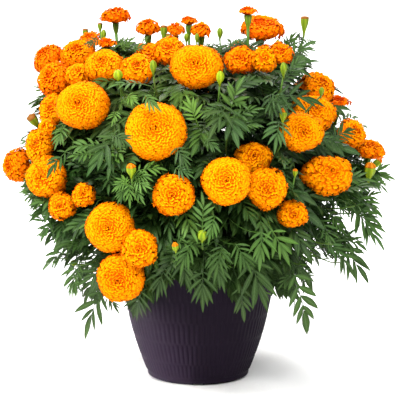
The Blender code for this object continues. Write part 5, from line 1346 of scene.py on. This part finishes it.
def stem_material():
    n = Nodes("marigold_stems", 0.50, 0.18)
    across, chance, along = n.growth()
    green = n.ramp(along, ((0.0, (0.020, 0.050, 0.006)), (0.6, (0.036, 0.090, 0.011)), (1.0, (0.070, 0.155, 0.018))))
    stain = n.noise(60, 3.0, (1.0, 1.0, 0.35))
    red = n.math("MULTIPLY", n.ramp(stain, ((0.46, (0, 0, 0)), (0.70, (1, 1, 1)))), scaled(n, chance, 0.10, 0.75))
    colour = n.mix(red, green, (0.120, 0.035, 0.020))
    n.bump(n.noise(900, 2.0, (1.0, 1.0, 0.12)), 0.4, 0.0006)
    return n.finish(colour, scaled(n, stain, 0.36, 0.56))


def cup_material():
    """Cups and buds. Zone, the third value of growth, runs from the stalk to the tip: orange
    petals show past 0.84, and a cut brown top between 0.74 and 0.84."""
    n = Nodes("marigold_cups_and_buds", 0.50, 0.10)
    ridge, chance, zone = n.growth()
    tone = n.attribute("tone").outputs["Fac"]
    body = n.ramp(ridge, ((0.0, (0.030, 0.085, 0.008)), (1.0, (0.085, 0.185, 0.016))))
    bright = n.ramp(ridge, ((0.0, (0.150, 0.240, 0.006)), (1.0, (0.320, 0.400, 0.008))))
    colour = n.mix(tone, body, bright)
    specks = n.noise(520, 2.0)
    colour = n.mix(n.math("MULTIPLY", n.ramp(specks, ((0.50, (0, 0, 0)), (0.70, (1, 1, 1)))), 0.30), colour, (0.16, 0.075, 0.018))
    cut = n.ramp(zone, ((0.72, (0, 0, 0)), (0.76, (1, 1, 1)), (0.82, (1, 1, 1)), (0.84, (0, 0, 0))))
    colour = n.mix(cut, colour, (0.200, 0.072, 0.008))
    open_tip = n.ramp(zone, ((0.82, (0, 0, 0)), (0.86, (1, 1, 1))))
    colour = n.mix(open_tip, colour, n.ramp(ridge, ((0.0, (0.34, 0.070, 0.0)), (1.0, (0.66, 0.215, 0.0)))))
    n.bump(n.math("ADD", specks, n.math("MULTIPLY", ridge, 0.8)), 0.4, 0.0008)
    return n.finish(colour, scaled(n, specks, 0.34, 0.52))


def pot_material():
    n = Nodes("aubergine_plastic", 0.46, 0.05)
    cloud = n.noise(9, 3.0)
    grain = n.noise(2600, 1.0)
    scuff = n.noise(34, 5.0, (1.0, 1.0, 3.0), 0.62)
    colour = n.mix(cloud, (0.0078, 0.0044, 0.0104), (0.0101, 0.0060, 0.0130))
    worn = n.math("MULTIPLY", n.ramp(scuff, ((0.60, (0, 0, 0)), (0.78, (1, 1, 1)))), 0.35)
    colour = n.mix(worn, colour, (0.0145, 0.0095, 0.0180))
    n.bump(grain, 0.10, 0.0003)
    return n.finish(colour, n.math("ADD", scaled(n, cloud, 0.54, 0.62), n.math("MULTIPLY", worn, 0.3)))


def soil_material():
    n = Nodes("peat_mix", 0.92, 0.2)
    white, chance, _ = n.growth()
    lumps = n.noise(260, 5.0, roughness=0.65)
    brown = n.ramp(lumps, ((0.30, (0.012, 0.008, 0.005)), (0.52, (0.036, 0.022, 0.013)), (0.72, (0.085, 0.052, 0.030))))
    colour = n.mix(n.math("MULTIPLY", chance, 0.5), brown, (0.070, 0.034, 0.016))
    colour = n.mix(white, colour, (0.62, 0.60, 0.56))
    n.bump(lumps, 0.9, 0.0030)
    return n.finish(colour, scaled(n, lumps, 0.82, 1.0))


# --------------------------------------------------------------------------
# Growing it
# --------------------------------------------------------------------------
def grow():
    rng = np.random.default_rng(11)
    petals, leaves_mat, stems_mat, cups_mat = petal_material(), leaf_material(), stem_material(), cup_material()

    pot = make_pot(pot_material())
    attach(pot, "root")
    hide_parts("pot")
    soil = make_soil(soil_material(), rng)
    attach(soil, "root")
    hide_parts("soil")

    flowers, buds = all_flowers(), all_buds()
    stems, axes, _ = all_axes(flowers, buds)
    for f in flowers:
        if f["open"] < 1.0:
            continue
        head = Surface()
        step = 0.0039 + 0.024 * f["radius"]
        add_petals(head, f, step, math.radians(122), rng)
        add_dome(head, f, 1.0 - (0.70 if f["radius"] < 0.028 else 0.85) * step / f["radius"], 9, 24)
        obj = head.build(f["name"] + "_petals", petals)
        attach(obj, "root")
        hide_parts(f["name"])

    wood = [Surface() for _ in stems]
    green = [Surface() for _ in stems]
    foliage = [Surface() for _ in stems]
    bloom = [Surface() for _ in stems]
    for i, s in enumerate(stems):
        path = bezier_path(s["points"], 12)
        path[0][2] = SOIL_TOP - 0.004
        radii = np.linspace(0.0054, 0.0030, 13) * (1 + 0.05 * np.sin(np.arange(13) * 1.9))
        add_tube(wood[i], path, radii, 12, rng.uniform(0.5, 1.0), 0.0, ribs=0.06)
    for axis in axes:
        i = axis["stem"]
        r = axis["radius"]
        path = bezier_path(axis["points"], 9)
        chance = rng.uniform(0, 1)
        if axis["kind"] == "flower":
            f = axis["flower"]
            radii = r * np.array((1.25, 1.1, 1.0, 0.95, 0.92, 0.92, 0.95, 1.0, 1.15, 1.45))
            add_tube(wood[i], path, radii, 8, chance, 0.0, ribs=0.06)
            add_cup(green[i], f, 0.10 + 0.25 * rng.uniform(0, 1), chance)
            if f["open"] < 1.0:
                add_petals(bloom[i], f, 0.0040, math.radians(95 + 25 * f["open"]), rng, 0.9 * (1 - f["open"]))
                add_dome(bloom[i], f, 1.0 - 0.0038 / f["radius"], 7, 16)
        else:
            radii = r * np.linspace(1.2, 0.75 if axis["kind"] == "shoot" else 0.95, 10)
            add_tube(wood[i], path, radii, 6, chance, 0.0, ribs=0.05)
            if axis["kind"] == "bud":
                add_bud(green[i], axis["bud"], chance)

    trunks = [{"stem": i, "kind": "trunk", "points": s["points"], "flower": None, "bud": None} for i, s in enumerate(stems)]
    marked = marked_leaves(axes)
    grown = growing_leaves(axes, flowers, SHEET_PAIRS, 7)
    more = growing_leaves(axes + trunks, flowers, DENSE_PAIRS, 23)
    both = axes + trunks
    for leaf in marked + grown + more:
        axis = both[leaf["axis"]]
        mid = (leaf["base"] + leaf["tip"]) / 2
        outer = math.hypot(mid.x, mid.y) / max(canopy_radius(max(mid.z, 0.08)), 0.05)
        fine = leaf["marked"] or outer > 0.80 or mid.z > 0.50
        # deep and low paint shade into a leaf's lightness: leaves set back inside the bush, low leaves at the front
        # over the pot, and low marked leaves are made darker, all as painted shade
        deep = min(1.0, max(0.0, (0.98 - outer) / 0.28)) * (0.0 if leaf["marked"] or mid.z > 0.52 else 1.0)
        low = min(1.0, max(0.0, (0.30 - mid.z) / 0.10)) * min(1.0, max(0.0, (0.17 - abs(mid.x)) / 0.05))
        leaf["light"] = (rng.uniform(0.08, 0.92) if leaf["marked"] else rng.uniform(0.02, 1.0)) * (1 - deep) * (1 - 0.62 * low) + rng.uniform(0.0, 0.15) * deep
        leaf["light"] *= 0.55 if mid.z < 0.22 and leaf["marked"] else 1.0
        leaf["outside"] = mid.z < 0.32 and abs(mid.x) > 0.15
        # leaves at the sides and on top turn their faces outwards, as they grow
        side_on = min(1.0, max(0.0, (abs(mid.x) - 0.10) / 0.08) + max(0.0, (mid.z - 0.46) / 0.05))
        leaf["turned"] = 0.0 if leaf["marked"] or mid.y > 0.08 else side_on * rng.uniform(0.2, 1.6)
        leaf["light"] *= 0.6 if leaf["marked"] and leaf["tone"] < 0.055 else 1.0
        leaf["light"] = max(leaf["light"], 0.6) if leaf["marked"] and leaf["tone"] > 0.4 else leaf["light"]
        # leaves deep inside also lose their young yellow-green, along with the painted shade
        leaf["tone"] *= 1 - deep
        add_leaf(foliage[axis["stem"]], leaf, bezier(*axis["points"], leaf["at"]), rng, fine)

    total = 0
    for i, s in enumerate(stems):
        name = s["name"]
        for surface, what, mat, slot in (
            (wood[i], "stalks", stems_mat, "foliage"), (green[i], "cups_and_buds", cups_mat, "foliage"),
            (foliage[i], "leaves", leaves_mat, "foliage"), (bloom[i], "young_petals", petals, "petals_deep_orange"),
        ):
            if not surface.count:
                continue
            obj = surface.build(name + "_" + what, mat)
            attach(obj, "root")
            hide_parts(name)
            total += surface.size()
    print("leaves", len(marked), len(grown), len(more), "stem triangles", total)


def light_and_camera():
    scene = bpy.context.scene
    sweep = Surface()
    wide, rows = 6.0, []
    for t in range(13):
        a = math.pi / 2 * t / 12
        rows.append((3.2 + 0.9 * math.sin(a), 0.9 - 0.9 * math.cos(a)))
    rows = [(-5.0, 0.0)] + rows + [(4.1, 5.0)]
    points = [(x, y, z) for y, z in rows for x in (-wide, wide)]
    sweep.add(points, (0, 0, 0), 0.0, grid_quads(len(rows), 2, False)[:, ::-1])
    paper = Nodes("pale_sweep", 0.9, 0.1)
    mottled = paper.noise(3.0, 2.0)
    floor = sweep.build("studio_sweep", paper.finish(paper.mix(mottled, (0.93, 0.93, 0.925), (0.95, 0.95, 0.95))))

    world = bpy.data.worlds.new("soft_studio")
    world.use_nodes = True
    world.node_tree.nodes["Background"].inputs["Color"].default_value = (1.0, 1.0, 1.0, 1.0)
    world.node_tree.nodes["Background"].inputs["Strength"].default_value = 0.36
    scene.world = world

    def lamp(name, place, aim, size, power, colour, spread=180):
        data = bpy.data.lights.new(name, "AREA")
        data.shape, data.size, data.energy, data.color = "DISK", size, power, colour
        data.spread = math.radians(spread)
        obj = bpy.data.objects.new(name, data)
        obj.location = place
        obj.rotation_euler = (Vector(aim) - Vector(place)).to_track_quat("-Z", "Y").to_euler()
        scene.collection.objects.link(obj)

    lamp("key", (-1.9, -1.4, 2.3), (0, 0, 0.30), 0.9, 139.0, (1.0, 0.985, 0.96))
    lamp("front", (0.3, -2.6, 2.1), (0, 0, 0.38), 1.2, 77.0, (1.0, 0.99, 0.97))
    lamp("fill", (1.8, -1.4, 2.8), (0, 0, 0.40), 1.4, 46.0, (0.97, 0.985, 1.0))
    lamp("side", (-1.9, -0.2, 0.12), (-0.1, 0, 0.06), 0.25, 0.98, (1.0, 0.985, 0.97), 7)
    lamp("back", (0.5, 1.6, 3.2), (0, 1.1, 0.0), 1.5, 85.0, (1.0, 1.0, 1.0))
    lamp("wall", (0.0, 1.6, 2.6), (0, 4.0, 1.2), 2.2, 90.0, (1.0, 1.0, 1.0))

    data = bpy.data.cameras.new("view")
    data.lens, data.sensor_width = 36.0 * SHEET_FOCUS / 400.0, 36.0
    camera = bpy.data.objects.new("view", data)
    camera.location = (EYE_X, -EYE_DISTANCE, EYE_HEIGHT)
    camera.rotation_euler = (math.pi / 2 - EYE_TILT, 0.0, 0.0)
    scene.collection.objects.link(camera)
    scene.camera = camera
    scene.view_settings.view_transform = "Standard"
    scene.view_settings.look = "None"


grow()
light_and_camera()
